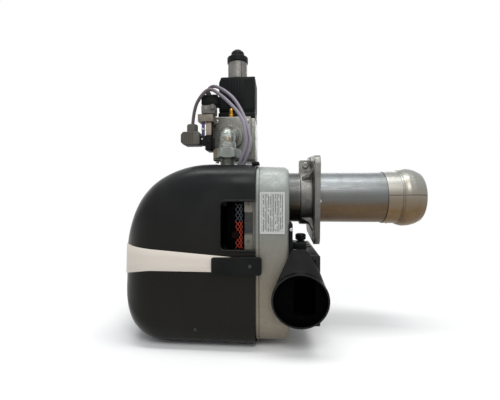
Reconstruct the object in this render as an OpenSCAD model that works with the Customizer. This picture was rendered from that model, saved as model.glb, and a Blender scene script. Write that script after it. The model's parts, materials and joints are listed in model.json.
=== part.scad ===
// Forced-draught gas burner with its gas train.
// Millimetres. The origin is the centre of the boiler side of the flange, on the axis of the blast tube.
// +X runs to the flame head, +Y to the back and +Z up.

/* [Blast tube and flame head] */
// Outside diameter of the blast tube
tube_d = 80; // [78:1:82]
// Wall of the blast tube
tube_wall = 1.5; // [1:0.5:2]
// Where the flame head's sleeve starts, in front of the flange
sleeve_x = 103.7; // [96:0.1:110]
// Outside diameter of the sleeve
sleeve_d = 83; // [83:1:86]
// Largest diameter of the flame head
bulb_d = 91; // [88:1:94]
// Where the flame head ends, in front of the flange
head_x = 161; // [155:1:166]
// Opening of the flame head
head_mouth_d = 72; // [66:1:76]

/* [Boiler flange] */
// Side of the square flange plate
flange_side = 132; // [128:1:136]
// Thickness of the flange plate
flange_t = 8; // [6:1:9]
// Corner radius of the flange plate
flange_corner = 14; // [12:1:18]
// Bolt circle of the flange
flange_pcd = 150; // [144:1:154]
// Diameter of the flange's bolt holes
flange_bolt_d = 9; // [8:0.5:11]
// Length of the hub behind the plate
hub_len = 18.5; // [16:0.5:20]
// Outside diameter of the hub
hub_d = 88; // [87:0.5:90]
// How far the clamp flange is turned on its tube, in degrees
flange_turn = 5; // [0:1:6]

/* [Fan housing] */
// Thickness of the housing along the tube
housing_t = 45.8; // [45:0.1:47]
// Width of the housing across
housing_w = 200; // [196:1:200]
// Top of the housing above the tube axis
housing_top = 45; // [44:1:46]
// Bottom of the housing below the tube axis
housing_low = 206; // [204:1:206]
// Radius of the housing's corners
housing_corner = 38; // [34:1:42]
// Wall of the casting
housing_wall = 4; // [3:0.5:5]
// Fan axis below the tube axis
fan_drop = 125; // [124:1:126]
// Outside diameter of the fan wheel
wheel_d = 120; // [114:1:122]
// Number of fan blades
blade_count = 28; // [18:1:32]

/* [Hood] */
// Length of the hood along the tube
hood_len = 200; // [196:1:204]
// Width of the hood across
hood_w = 206; // [205:1:208]
// Top of the hood above the tube axis
hood_top = 48; // [48:0.5:50]
// Bottom of the hood below the tube axis
hood_low = 211; // [210:0.5:213]
// Wall of the hood
hood_wall = 3; // [2.5:0.5:3]
// Radius of the hood's long edges
hood_edge = 38; // [34:1:42]
// Length of the window in the near side of the hood
window_len = 47; // [40:1:50]
// Height of the light band round the hood
band_h = 34; // [28:1:36]
// How far the band stands out
band_t = 1.2; // [1:0.1:1.5]
// Length of a latch
latch_len = 68; // [60:1:70]
// Height of a latch at its wide end
latch_h = 25; // [20:1:26]

/* [Air intake] */
// Width of the air box along the tube
box_w = 40.6; // [38:0.2:41]
// Height of the air box
box_h = 94; // [92:1:96]
// Depth of the air box
box_depth = 153; // [150:1:156]
// Inside diameter of the round intake
intake_bore = 71; // [68:1:71]
// Outside diameter of the round intake
intake_d = 76; // [75:1:78]
// How far the intake leans down, in degrees
intake_lean = 8; // [6:1:9]

/* [Gas train] */
// Outside diameter of the gas pipe
pipe_d = 21.3; // [21:0.1:21.6]
// Across the flats of the union nut
nut_flats = 36; // [34:1:38]
// Width of the gas valve's body
valve_w = 61.5; // [58:0.5:62]
// Height of the gas valve's body
valve_h = 71; // [68:1:71]
// Length of the gas valve along the gas flow
valve_len = 78; // [74:1:82]
// Bore of the valve's gas inlet
inlet_bore = 18.6; // [18:0.1:19]
// Width of the coil box
coil_w = 60; // [56:1:60]
// Depth of the coil box
coil_depth = 54; // [50:1:54]
// Height of the coil box
coil_h = 57; // [54:1:58]
// Diameter of the cables
cable_d = 5; // [4.6:0.1:5.2]

/* [Hidden] */
$fn = 96;

tube_r = tube_d / 2;
// Radial play of a part that turns or slides on another
running = 0.05;
// Gap between pieces that pass each other
gap = 0.3;

housing_x1 = -45.6;
housing_x0 = housing_x1 - housing_t;
housing_h = housing_top + housing_low;
housing_mid = (housing_top - housing_low) / 2;
fan_z = -fan_drop;
plate_t = 4;
plate_x0 = housing_x0 - plate_t;
inlet_r = 33;

hood_x1 = housing_x0 - gap;
hood_x0 = hood_x1 - hood_len;
hood_half = hood_w / 2;
window_top = -6.5;
window_low = -71.5;
window_x0 = hood_x1 - window_len;
// Slot in the hood's top for the gas pipe and the cables
slot_x0 = -151;
slot_y0 = -75;
slot_y1 = -45;
band_mid = -93;
latch_pin_x = -98.3;
latch_pin_z = -92.5;
latch_pin_r = 2.5;
latch_y = hood_half + band_t + gap;
latch_t = 4.5;
keeper_x1 = -83;

box_x0 = housing_x1;
box_x1 = box_x0 + box_w;
box_top = -78;
box_low = box_top - box_h;
box_y0 = -100;
box_y1 = box_y0 + box_depth;
box_wall = 3;
damper_x = -28;
damper_y = -60;
damper_shaft_r = 3;
mouth = [-32, -116, -136];
mouth_len = 10;

pipe_x = -136;
pipe_y = -60;
pipe_r = pipe_d / 2;
elbow_z = 96;
nut_z0 = 57;
nut_z1 = 71;
manifold_z = 12;
manifold_y = 14;
lance_r = 9;

valve_x0 = -165.5;
valve_x1 = valve_x0 + valve_w;
valve_y0 = -20;
valve_z0 = 59;
valve_z1 = valve_z0 + valve_h;
coil_x1 = -98;
coil_x0 = coil_x1 - coil_w;
coil_y0 = -9;
coil_z0 = valve_z1 + 11;
coil_z1 = coil_z0 + coil_h;
brake_x = -130;
brake_y = 18;
brake_r = 16.4;
brake_z1 = 230;

motor_x0 = -205;
motor_x1 = -105;
motor_r = 47;
shaft_r = 5;
bearing_r = 9;

// Points of the cable to the pressure switch and of the cable to the plug
cable_switch_route = [[-113, -62, -2], [-113, -62, 12], [-113, -62, 28], [-113, -62, 44], [-109, -64, 54],
    [-104, -66, 66], [-101.5, -66, 81], [-104, -64, 96], [-110, -60, 116], [-117, -56, 132],
    [-127, -52, 148], [-139, -48, 160], [-152, -43, 169], [-161, -39, 172.5], [-167.5, -38, 170], [-169, -38, 163]];
cable_plug_route = [[-119, -62, -2], [-119, -62, 12], [-119, -62, 28], [-119, -62.5, 44], [-115.5, -65, 54],
    [-110, -67.5, 67], [-107, -69.5, 80], [-108, -69.5, 94], [-111.5, -67, 110], [-119, -63, 124], [-129, -61, 136],
    [-140, -59, 147], [-151, -58, 156], [-159, -57, 161], [-167, -56, 161], [-176, -55, 153.5],
    [-184, -52, 143], [-189, -48, 131], [-192, -44, 119], [-192.8, -43, 113]];

// A block between two corners
module block(low, high) {
    translate(low) cube(high - low);
}

// A round bar along X, Y or Z
module bar_x(x0, x1, r, y = 0, z = 0) {
    translate([x0, y, z]) rotate([0, 90, 0]) cylinder(h = x1 - x0, r = r);
}
module bar_y(y0, y1, r, x = 0, z = 0) {
    translate([x, y0, z]) rotate([-90, 0, 0]) cylinder(h = y1 - y0, r = r);
}
module bar_z(z0, z1, r, x = 0, y = 0) {
    translate([x, y, z0]) cylinder(h = z1 - z0, r = r);
}

// A flat outline in Y and Z, extruded along X
module along_x(x0, x1) {
    translate([x0, 0, 0]) rotate([90, 0, 90]) linear_extrude(x1 - x0) children();
}

// A flat outline in X and Z, extruded towards +Y
module along_y(y0, y1) {
    translate([0, y1, 0]) rotate([90, 0, 0]) linear_extrude(y1 - y0) children();
}

// A ring turned round a line along X, from points of radius and X
module turned_x(points, y = 0, z = 0) {
    translate([0, y, z]) rotate([0, 90, 0]) rotate_extrude() polygon(points);
}

// A rectangle with round corners
module rounded(w, h, r) {
    square([w - 2 * r, h], center = true);
    square([w, h - 2 * r], center = true);
    for (sy = [-1, 1], sz = [-1, 1]) {
        translate([sy * (w / 2 - r), sz * (h / 2 - r)]) circle(r);
    }
}

// Ring of points of a rounded rectangle with half width w and half height h
corner_steps = 7;
function corner_arc(cy, cz, r, a0) = [for (i = [0:corner_steps])
    let (a = a0 + 90 * i / corner_steps) [cy + r * cos(a), cz + r * sin(a)]];
function round_ring(w, h, r) = concat(
    corner_arc(w - r, h - r, r, 0), corner_arc(-w + r, h - r, r, 90),
    corner_arc(-w + r, -h + r, r, 180), corner_arc(w - r, -h + r, r, 270));

// Side profile of the hood. t runs from 0 at the end of the straight part to 1 at the far end.
crown_x = hood_x0 + 132;
crown_z = -79;
heel_x = hood_x0 + 76;
heel_z = -163;
heel_end = 0.3;
heel_turn = 0.85;
end_low_z = -112;
end_lean = 6;
function top_point(t, inset) = [
    crown_x - (crown_x - hood_x0 - inset) * sin(80 * t),
    crown_z + (hood_top - inset - crown_z) * cos(80 * t)];
function low_point(t, inset) =
    t < heel_end
    ? [crown_x + (heel_x - crown_x) * t / heel_end, -hood_low + inset]
    : t < heel_turn
    ? let (a = 90 * (t - heel_end) / (heel_turn - heel_end))
        [heel_x - (heel_x - hood_x0 - end_lean - inset) * sin(a), heel_z - (hood_low + heel_z - inset) * cos(a)]
    : let (u = (t - heel_turn) / (1 - heel_turn))
        [hood_x0 + inset + end_lean * (1 - u), heel_z + (end_low_z - heel_z) * u];

// Half width of the hood at a place along X, with round corners in plan
plan_r = 60;
function half_width(x, inset) =
    let (d = max(0, hood_x0 + plan_r - x) / plan_r)
    hood_half - inset - plan_r * (1 - sqrt(max(0, 1 - d * d)));

// One ring of the hood, in the plane through its top and low points
function hood_ring(top, low, inset) =
    let (mid = (top + low) / 2,
        half = norm(top - low) / 2,
        up = (top - low) / (2 * half),
        w = half_width(mid[0], inset),
        r = min(hood_edge - inset, half - 1, w - 1))
    [for (p = round_ring(w, half, r)) [mid[0] + up[0] * p[1], p[0], mid[1] + up[1] * p[1]]];

// The closed form of the hood, inset from its outside and open end moved by extra
hood_steps = 9;
module hood_form(inset, extra = 0) {
    straight = [for (x = [hood_x1 + extra, (hood_x1 + crown_x) / 2])
        hood_ring([x, hood_top - inset], [x, -hood_low + inset], inset)];
    bent = [for (i = [0:hood_steps])
        hood_ring(top_point(i / hood_steps, inset), low_point(i / hood_steps, inset), inset)];
    skin(concat(straight, bent));
}

// A closed skin over rings that all have the same number of points
module skin(rings) {
    n = len(rings[0]);
    last = len(rings) - 1;
    points = [for (ring = rings) for (p = ring) p];
    sides = [for (i = [0:last - 1], j = [0:n - 1])
        let (k = (j + 1) % n) each [[i * n + j, (i + 1) * n + k, (i + 1) * n + j],
            [i * n + j, i * n + k, (i + 1) * n + k]]];
    first_cap = [for (j = [n - 1:-1:0]) j];
    last_cap = [for (j = [0:n - 1]) last * n + j];
    polyhedron(points, concat(sides, [first_cap, last_cap]), convexity = 6);
}

// A round tube swept along a route, as rings square to it
cable_sides = 8;
function unit(v) = v / norm(v);
function route_dir(route, i) = unit(route[min(i + 1, len(route) - 1)] - route[max(i - 1, 0)]);
function route_ring(route, i, r) =
    let (d = route_dir(route, i), side = unit(cross(d, [0, 1, 0])), up = cross(side, d))
    [for (k = [0:cable_sides - 1]) let (a = 360 * k / cable_sides)
        route[i] + r * (cos(a) * side + sin(a) * up)];
module cable(route) {
    skin([for (i = [0:len(route) - 1]) route_ring(route, i, cable_d / 2)]);
}

// Aluminium casting with the fan's scroll inside it
scroll_r = 64;
scroll_grow = 26;
scroll_turn = 290;
scroll_wall = 3;
function scroll_at(a, extra) =
    let (r = scroll_r + scroll_grow * a / 300 + extra, b = 60 - a)
    [r * cos(b), fan_z + r * sin(b)];
module fan_housing() {
    color("silver") difference() {
        union() {
            difference() {
                along_x(housing_x0, housing_x1)
                    translate([0, housing_mid]) rounded(housing_w, housing_h, housing_corner);
                along_x(housing_x0 - 1, housing_x1 - housing_wall)
                    translate([0, housing_mid]) rounded(housing_w - 2 * housing_wall,
                        housing_h - 2 * housing_wall, housing_corner - housing_wall);
            }
            along_x(housing_x0 + 2, housing_x1 - housing_wall / 2) polygon(concat(
                [for (a = [0:10:scroll_turn]) scroll_at(a, 0)],
                [for (a = [scroll_turn:-10:0]) scroll_at(a, scroll_wall)]));
        }
        bar_x(housing_x1 - 10, housing_x1 + 1, tube_r);
        bar_x(housing_x1 - 10, housing_x1 + 1, inlet_r, 0, fan_z);
    }
}

// Plate that closes the casting and carries the motor and the electrical parts
module back_plate() {
    color("gainsboro") difference() {
        along_x(plate_x0, housing_x0)
            translate([0, housing_mid]) rounded(housing_w - 10, housing_h - 10, housing_corner - 5);
        bar_x(plate_x0 - 1, housing_x0 + 1, lance_r);
        bar_x(plate_x0 - 1, housing_x0 + 1, 14, 0, fan_z);
    }
}

// Ring that leads the air into the fan wheel
module inlet_ring() {
    color("silver") turned_x([[inlet_r - 2, housing_x1 - 12], [inlet_r, housing_x1 - 12],
        [inlet_r, housing_x1], [inlet_r - 5, housing_x1], [inlet_r - 5, housing_x1 - 3]], 0, fan_z);
}

// Bare label on the near side of the housing
module rating_label() {
    color("lightgray") block([-85.5, -housing_w / 2 - 0.5, -50], [-51.8, -housing_w / 2, 7]);
}

// Pads on the housing that the latches close over
module latch_keepers() {
    color("dimgray") for (side = [-1, 1]) {
        low = side < 0 ? -hood_half - band_t : housing_w / 2;
        high = side < 0 ? -housing_w / 2 : hood_half + band_t;
        block([housing_x0, low, band_mid - 7], [keeper_x1, high, band_mid + 8]);
    }
}

// Fan motor
module motor_can() {
    color("gray") difference() {
        bar_x(motor_x0, motor_x1, motor_r, 0, fan_z);
        bar_x(motor_x0 - 1, motor_x1 + 1, motor_r - 3, 0, fan_z);
    }
}
module motor_stator() {
    color("peru") difference() {
        bar_x(motor_x0 + 18, motor_x1 - 18, motor_r - 3, 0, fan_z);
        bar_x(motor_x0 + 17, motor_x1 - 17, 28.6, 0, fan_z);
    }
}
module motor_shield_front() {
    color("silver") difference() {
        bar_x(motor_x1, plate_x0, motor_r, 0, fan_z);
        bar_x(motor_x1 - 1, motor_x1 + 6, bearing_r, 0, fan_z);
        bar_x(motor_x1 - 1, plate_x0 + 1, shaft_r + 1, 0, fan_z);
    }
}
module motor_shield_rear() {
    color("silver") difference() {
        bar_x(motor_x0 - 9, motor_x0, motor_r, 0, fan_z);
        bar_x(motor_x0 - 6, motor_x0 + 1, bearing_r, 0, fan_z);
    }
}
module motor_bearings() {
    color("lightsteelblue") for (x = [motor_x0 - 6, motor_x1]) {
        difference() {
            bar_x(x, x + 6, bearing_r, 0, fan_z);
            bar_x(x - 1, x + 7, shaft_r + running, 0, fan_z);
        }
    }
}
module motor_shaft() {
    color("lightgray") bar_x(motor_x0 - 5, housing_x0 + 20, shaft_r, 0, fan_z);
}
module motor_rotor() {
    color("slategray") difference() {
        bar_x(motor_x0 + 20, motor_x1 - 20, 28, 0, fan_z);
        bar_x(motor_x0 + 19, motor_x1 - 19, shaft_r, 0, fan_z);
    }
}
module capacitor_box() {
    color("dimgray") difference() {
        block([-185, 30, fan_z - 22], [-130, 78, fan_z + 28]);
        bar_x(-186, -129, motor_r, 0, fan_z);
    }
}

// Fan wheel with forward blades between a back disc and a front ring
wheel_x0 = housing_x0 + 5;
wheel_x1 = housing_x1 - housing_wall - 4;
module fan_wheel() {
    rim_r = wheel_d / 2;
    blade_r = rim_r - 5.5;
    color("gainsboro") translate([0, 0, fan_z]) {
        difference() {
            union() {
                bar_x(wheel_x0, wheel_x0 + 2, rim_r);
                bar_x(wheel_x0, wheel_x0 + 16, 12);
            }
            bar_x(wheel_x0 - 1, wheel_x0 + 17, shaft_r);
        }
        difference() {
            bar_x(wheel_x1 - 2, wheel_x1, rim_r);
            bar_x(wheel_x1 - 3, wheel_x1 + 1, rim_r - 10);
        }
        for (i = [0:blade_count - 1]) {
            rotate([360 * i / blade_count, 0, 0]) translate([wheel_x0 + 1, 0, blade_r]) rotate([35, 0, 0])
                translate([0, -0.75, -4.5]) cube([wheel_x1 - wheel_x0 - 2, 1.5, 9]);
        }
    }
}

// Ignition control on its terminal base
control_low = [-132, -96, -78];
control_high = [-107, -36, -4];
reset_x = -119.5;
reset_z = -52;
reset_r = 5;
reset_travel = 3;
module control_base() {
    color("gainsboro") block([control_high[0], -96, -80], [plate_x0, -34, -2]);
}
module control_box() {
    color("dimgray") difference() {
        block(control_low, control_high);
        bar_y(control_low[1] - 1, control_low[1] + 7 + reset_travel, reset_r + gap, reset_x, reset_z);
    }
}
module reset_button() {
    color("firebrick") bar_y(control_low[1] - 3.5, control_low[1] + 6.5, reset_r, reset_x, reset_z);
}
module cable_grommets() {
    color("dimgray") for (route = [cable_switch_route, cable_plug_route]) {
        bar_z(control_high[2], route[0][2], 4, route[0][0], route[0][1]);
    }
}
module ignition_transformer() {
    color("darkslategray") union() {
        block([-170, 25, -65], [plate_x0, 92, -5]);
        block([-176, 35, -50], [-170, 50, -35]);
        block([-176, 65, -50], [-170, 80, -35]);
    }
}

// Air box with its opening to the fan
module air_box() {
    color("dimgray") difference() {
        union() {
            block([box_x0, box_y0, box_low], [box_x1, box_y1, box_top]);
            block([box_x0, box_y0 + 2, box_top - 1], [box_x0 + 4.5, box_y0 + 48, -36]);
        }
        block([box_x0 + box_wall, box_y0 - 1, box_low + box_wall],
            [box_x1 - box_wall, box_y1 - box_wall, box_top - box_wall]);
        bar_x(box_x0 - 1, box_x0 + box_wall + 1, inlet_r - 5, 0, fan_z);
        bar_z(box_top - 10, box_top + 1, damper_shaft_r + running, damper_x, damper_y);
    }
}

// Square-to-round adapter for the air hose
module in_mouth() {
    translate(mouth) rotate([90 + intake_lean, 0, 0]) children();
}
module air_adapter() {
    rim_r = intake_d / 2;
    color("dimgray") difference() {
        union() {
            hull() {
                block([-44, box_y0 - 3, box_top - 2], [-22, box_y0, box_top + 8]);
                block([-44, box_y0 - 3, box_low + 4], [-8, box_y0, box_top - 14]);
                in_mouth() translate([0, 0, -mouth_len - 1]) cylinder(h = 2, r = rim_r - 0.6, $fn = 40);
            }
            in_mouth() translate([0, 0, -mouth_len]) cylinder(h = mouth_len, r = rim_r);
            block([box_x0, box_y0 - 2, box_low], [box_x1, box_y0, box_top]);
        }
        in_mouth() translate([0, 0, -mouth_len]) cylinder(h = mouth_len + 1, r = intake_bore / 2);
        in_mouth() block([-9, -24, -mouth_len - 14], [21, 28, -mouth_len + 0.1]);
    }
}
module damper_bush() {
    color("dimgray") difference() {
        bar_z(box_top, -63, 6, damper_x, damper_y);
        bar_z(box_top - 1, -62, damper_shaft_r + running, damper_x, damper_y);
    }
}
module damper_flap() {
    color("silver") union() {
        bar_z(box_low + box_wall + 1, -62, damper_shaft_r, damper_x, damper_y);
        block([box_x0 + box_wall + 1, damper_y - 1, box_low + box_wall + 2],
            [box_x1 - box_wall - 1, damper_y + 1, box_top - box_wall - 1.5]);
    }
}
module damper_knob() {
    color("dimgray") union() {
        bar_z(-62, -53, 7.5, damper_x, damper_y);
        block([damper_x - 1.5, damper_y - 12, -60], [damper_x + 1.5, damper_y, -55]);
    }
}

// Blast tube, flame head and the screw that fixes the inner assembly
screw_r = 2.2;
screw_x = 3;
screw_z = -6;
module blast_tube() {
    color("lightgray") difference() {
        bar_x(housing_x1 - housing_wall, sleeve_x + 8, tube_r);
        bar_x(housing_x1 - housing_wall - 1, sleeve_x + 9, tube_r - tube_wall);
        bar_y(-tube_r - 1, -tube_r + 5, screw_r, screw_x, screw_z);
    }
}
module flame_head() {
    bulb_r = bulb_d / 2;
    sleeve_r = sleeve_d / 2;
    mouth_r = head_mouth_d / 2;
    bulb_x = sleeve_x + 27;
    color("silver") turned_x([[tube_r, sleeve_x], [sleeve_r, sleeve_x], [sleeve_r, bulb_x - 5],
        [bulb_r - 1, bulb_x], [bulb_r, bulb_x + 4], [bulb_r - 0.5, bulb_x + 12], [bulb_r - 2.5, bulb_x + 20],
        [mouth_r + 3, head_x - 2], [mouth_r, head_x], [mouth_r - 1, head_x - 1.5], [mouth_r, head_x - 5],
        [bulb_r - 5, bulb_x + 16], [bulb_r - 3, bulb_x + 8], [tube_r, bulb_x - 2]]);
}
module tube_screw() {
    color("gainsboro") bar_y(-tube_r - 1.4, -tube_r + 2.5, screw_r, screw_x, screw_z);
}

// Gas way inside the casing
module gas_manifold() {
    color("silver") difference() {
        union() {
            bar_z(0.5, 30, 13, pipe_x, pipe_y);
            bar_y(pipe_y, -manifold_y, 11, pipe_x, manifold_z);
            block([pipe_x - 16, -manifold_y, -14], [pipe_x + 16, manifold_y, 26]);
        }
        bar_z(24, 31, pipe_r, pipe_x, pipe_y);
        bar_z(manifold_z, 25, 8, pipe_x, pipe_y);
        bar_y(pipe_y, 0, 7.5, pipe_x, manifold_z);
        bar_x(pipe_x, pipe_x + 17, lance_r - 2);
        bar_z(0, manifold_z, 6.5, pipe_x, 0);
    }
}
module gas_lance() {
    color("goldenrod") difference() {
        bar_x(pipe_x + 16, 85, lance_r);
        bar_x(pipe_x + 15, 86, lance_r - 2);
    }
}
module gas_nozzle() {
    color("goldenrod") difference() {
        bar_x(85, 118, 14);
        bar_x(84, 114, lance_r - 2);
        for (a = [0:45:315]) {
            rotate([a, 0, 0]) bar_z(0, 15, 1.6, 110, 0);
        }
    }
}
module diffuser() {
    color("silver") difference() {
        bar_x(100, 102, 34);
        bar_x(99, 103, 14);
        for (a = [22.5:45:360]) {
            rotate([a, 0, 0]) block([99, -2, 18], [103, 2, 30]);
        }
        for (side = [-1, 1]) {
            bar_x(99, 103, 4, side * 22, 0);
        }
    }
}
module electrode_ceramics() {
    color("white") for (side = [-1, 1]) {
        difference() {
            bar_x(50, 104, 4, side * 22, 0);
            bar_x(49, 105, 1.2, side * 22, 0);
        }
    }
}
module electrode_rods() {
    color("silver") for (side = [-1, 1]) {
        bar_x(45, 126, 1.2, side * 22, 0);
    }
}

// Clamp flange that slides on the blast tube
lug_z = 60;
module boiler_flange() {
    hub_x0 = -flange_t - hub_len;
    hub_r = hub_d / 2;
    bolt_at = flange_pcd / 2 * cos(45);
    color("silver") rotate([flange_turn, 0, 0]) difference() {
        union() {
            along_x(-flange_t, 0) rounded(flange_side, flange_side, flange_corner);
            bar_x(hub_x0, -flange_t + 1, hub_r);
            block([hub_x0, -11, hub_r - 4], [-flange_t + 1, 11, lug_z]);
            for (a = [45:90:315]) {
                rotate([a, 0, 0]) rotate([90, 0, 0]) translate([0, 0, -3]) linear_extrude(6)
                    polygon([[hub_x0 + 2, hub_r - 2], [hub_x0 + 2, hub_r + 1], [-flange_t + 1, 70], [-flange_t + 1, hub_r - 2]]);
            }
        }
        bar_x(hub_x0 - 1, 1, tube_r + running);
        block([hub_x0 - 1, -1, tube_r - 2], [1, 1, lug_z + 1]);
        bar_y(-12, 12, 2.5, hub_x0 + 9, 52);
        for (sy = [-1, 1], sz = [-1, 1]) {
            bar_x(-flange_t - 12, 1, flange_bolt_d / 2, sy * bolt_at, sz * bolt_at);
        }
    }
}
module flange_screws() {
    x = -flange_t - hub_len + 9;
    color("gray") rotate([flange_turn, 0, 0]) union() {
        bar_y(-15, -11, 4.4, x, 52);
        bar_y(-11.5, 14, 2.5, x, 52);
        bar_y(11, 15, 4, x, 52);
    }
}

// Hood over the motor, open on its housing side
module hood() {
    color("dimgray") difference() {
        hood_form(0);
        hood_form(hood_wall, 5);
        block([window_x0, -hood_half - 5, window_low], [hood_x1 + 1, -hood_half + 10, window_top]);
        block([slot_x0, slot_y0, hood_top - 10], [hood_x1 + 1, slot_y1, hood_top + 5]);
    }
}
module hood_band() {
    color("wheat") difference() {
        intersection() {
            hood_form(-band_t);
            block([hood_x0 - 10, -hood_half - 10, band_mid - band_h / 2],
                [hood_x1 + 1, hood_half + 10, band_mid + band_h / 2]);
        }
        hood_form(0, 5);
    }
}

// Latches that turn on pins at the sides of the hood
module latch_shape() {
    half = latch_h / 2;
    nose = latch_pin_x + 15.5;
    tail = nose - latch_len;
    difference() {
        polygon([[tail + 3, latch_pin_z + 10.5], [nose - 4, latch_pin_z + half], [nose, latch_pin_z + half - 5],
            [nose, latch_pin_z - half + 5], [nose - 4, latch_pin_z - half],
            [tail + 3, latch_pin_z - 9], [tail, latch_pin_z - 6], [tail, latch_pin_z + 7.5]]);
        translate([latch_pin_x, latch_pin_z]) circle(latch_pin_r + running);
    }
}
module latch_near() {
    color("black") along_y(-latch_y - latch_t, -latch_y) latch_shape();
}
module latch_far() {
    color("black") along_y(latch_y, latch_y + latch_t) latch_shape();
}
module latch_pins() {
    color("gray") for (side = [-1, 1]) {
        inner = hood_half + band_t;
        outer = latch_y + latch_t + gap;
        y0 = side < 0 ? -outer : inner;
        y1 = side < 0 ? -inner : outer;
        head_y0 = side < 0 ? y0 - 1.2 : y1;
        bar_y(y0, y1, latch_pin_r, latch_pin_x, latch_pin_z);
        bar_y(head_y0, head_y0 + 1.2, latch_pin_r + 1, latch_pin_x, latch_pin_z);
    }
}

// Gas pipe, union and elbow up to the valve
module gas_nipple() {
    color("silver") difference() {
        bar_z(24, nut_z1 - 1, pipe_r, pipe_x, pipe_y);
        bar_z(23, nut_z1, pipe_r - 2.6, pipe_x, pipe_y);
    }
}
module union_nut() {
    color("silver") difference() {
        translate([pipe_x, pipe_y, nut_z0]) rotate([0, 0, 8])
            cylinder(h = nut_z1 - nut_z0, r = nut_flats / sqrt(3), $fn = 6);
        bar_z(nut_z0 - 1, nut_z1 + 1, pipe_r, pipe_x, pipe_y);
    }
}
module gas_elbow() {
    color("silver") difference() {
        union() {
            bar_z(nut_z1, elbow_z, 12, pipe_x, pipe_y);
            bar_y(pipe_y, valve_y0 - 6, 12.4, pipe_x, elbow_z);
            translate([pipe_x, pipe_y, elbow_z]) sphere(r = 13.4);
        }
        bar_z(nut_z1 - 1, elbow_z, 8, pipe_x, pipe_y);
        bar_y(pipe_y, valve_y0 - 5, 8.4, pipe_x, elbow_z);
    }
}

// Gas valve
module valve_body() {
    mid_y = valve_y0 + 12;
    end_y = valve_y0 + valve_len;
    color("lightgray") difference() {
        union() {
            along_y(valve_y0, mid_y) polygon([[valve_x0, valve_z0], [valve_x1 - 12, valve_z0],
                [valve_x1, valve_z0 + 14], [valve_x1, valve_z1], [valve_x0, valve_z1]]);
            block([valve_x0 + 4, mid_y - 1, valve_z0 + 2], [coil_x1, end_y, valve_z1]);
            bar_y(valve_y0 - 6, valve_y0 + 1, 20, pipe_x, elbow_z);
        }
        bar_y(valve_y0 - 7, mid_y, 8.4, pipe_x, elbow_z);
        bar_y(end_y - 20, end_y + 1, inlet_bore / 2, pipe_x, elbow_z);
    }
}
module valve_screws() {
    color("gray") union() {
        for (p = [[valve_x0 + 6, valve_z1 - 8], [valve_x1 - 6, valve_z1 - 8]]) {
            bar_y(valve_y0 - 2.4, valve_y0, 3.4, p[0], p[1]);
        }
        for (x = [valve_x0 + 6, valve_x1 - 17]) {
            bar_z(valve_z0 - 3.5, valve_z0, 3, x, valve_y0 + 6);
        }
    }
}
module coil_plinth() {
    color("dimgray") block([coil_x0 - 1, coil_y0, valve_z1], [coil_x1, coil_y0 + coil_depth, coil_z0]);
}
module coil_box() {
    color("dimgray") union() {
        along_y(coil_y0, coil_y0 + coil_depth) polygon([[coil_x0, coil_z0], [coil_x1, coil_z0],
            [coil_x1, coil_z1], [coil_x0 + 3.5, coil_z1], [coil_x0, coil_z1 - 9]]);
        for (i = [0:4]) {
            block([coil_x0 + 18 + 4.4 * i, coil_y0 - 1.2, coil_z0 + 3], [coil_x0 + 20 + 4.4 * i, coil_y0 + 1, coil_z1 - 3]);
        }
    }
}
module brake_tube() {
    color("darkgray") bar_z(coil_z1, brake_z1, brake_r, brake_x, brake_y);
}
module brake_collar() {
    color("dimgray") difference() {
        bar_z(brake_z1, brake_z1 + 10, brake_r + 1.4, brake_x, brake_y);
        bar_z(brake_z1 + 2, brake_z1 + 11, 8 + running, brake_x, brake_y);
    }
}
module brake_cap() {
    color("dimgray") difference() {
        union() {
            bar_z(brake_z1 + 2, brake_z1 + 10.3, 8, brake_x, brake_y);
            bar_z(brake_z1 + 10.3, brake_z1 + 23.5, 11.35, brake_x, brake_y);
        }
        block([brake_x - 12, brake_y - 1, brake_z1 + 21.5], [brake_x + 12, brake_y + 1, brake_z1 + 24]);
    }
}
module test_nipple() {
    color("goldenrod") union() {
        bar_z(valve_z1, valve_z1 + 5, 4.2, -136.5, valve_y0 + 5.5);
        bar_z(valve_z1 + 5, valve_z1 + 14, 3, -136.5, valve_y0 + 5.5);
    }
}

// Gas pressure switch on its bracket
switch_y0 = -50;
switch_y1 = -28;
module switch_bracket() {
    color("tan") union() {
        block([-184, switch_y0 + 2, 116], [-160, switch_y1, 128]);
        difference() {
            block([-172, switch_y1, 116], [-160, valve_y0, 128]);
            bar_y(valve_y0 - 3, valve_y0 + 1, 4, valve_x0 + 6, valve_z1 - 8);
        }
    }
}
module pressure_switch() {
    color("lightgray") block([-178, switch_y0, 128], [-157, switch_y1, 141]);
}
module switch_cover() {
    color("dimgray") union() {
        block([-178, switch_y0, 141], [-152.5, switch_y1, 157]);
        bar_z(157, 163, 5, -169, -38);
    }
}
module switch_dial() {
    color("gainsboro") union() {
        bar_y(switch_y0 - 3, switch_y0, 3.2, -160.5, 136.5);
        block([-161, switch_y0 - 3.8, 133.5], [-160, switch_y0 - 2.5, 139.5]);
    }
}

// Plug, connector and cables
module valve_connector() {
    color("dimgray") union() {
        block([-172, switch_y0, 72], [-162.5, valve_y0, 95]);
        block([-180, switch_y0, 80], [-172, -34, 94]);
        block([-172, switch_y0 + 6, 95], [-163, switch_y1, 116]);
    }
}
module valve_plug() {
    color("gray") union() {
        along_y(-54, -30) polygon([[-209, 84], [-205, 80], [-180, 80], [-180, 100], [-205, 100], [-209, 96]]);
        bar_z(100, 113, 8.2, -193.5, -42);
    }
}
module link_cable() {
    color("mediumpurple") bar_z(94, 116, 2.5, -176.5, -42);
}
module cable_switch() {
    color("thistle") cable(cable_switch_route);
}
module cable_plug() {
    color("thistle") cable(cable_plug_route);
}

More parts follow.
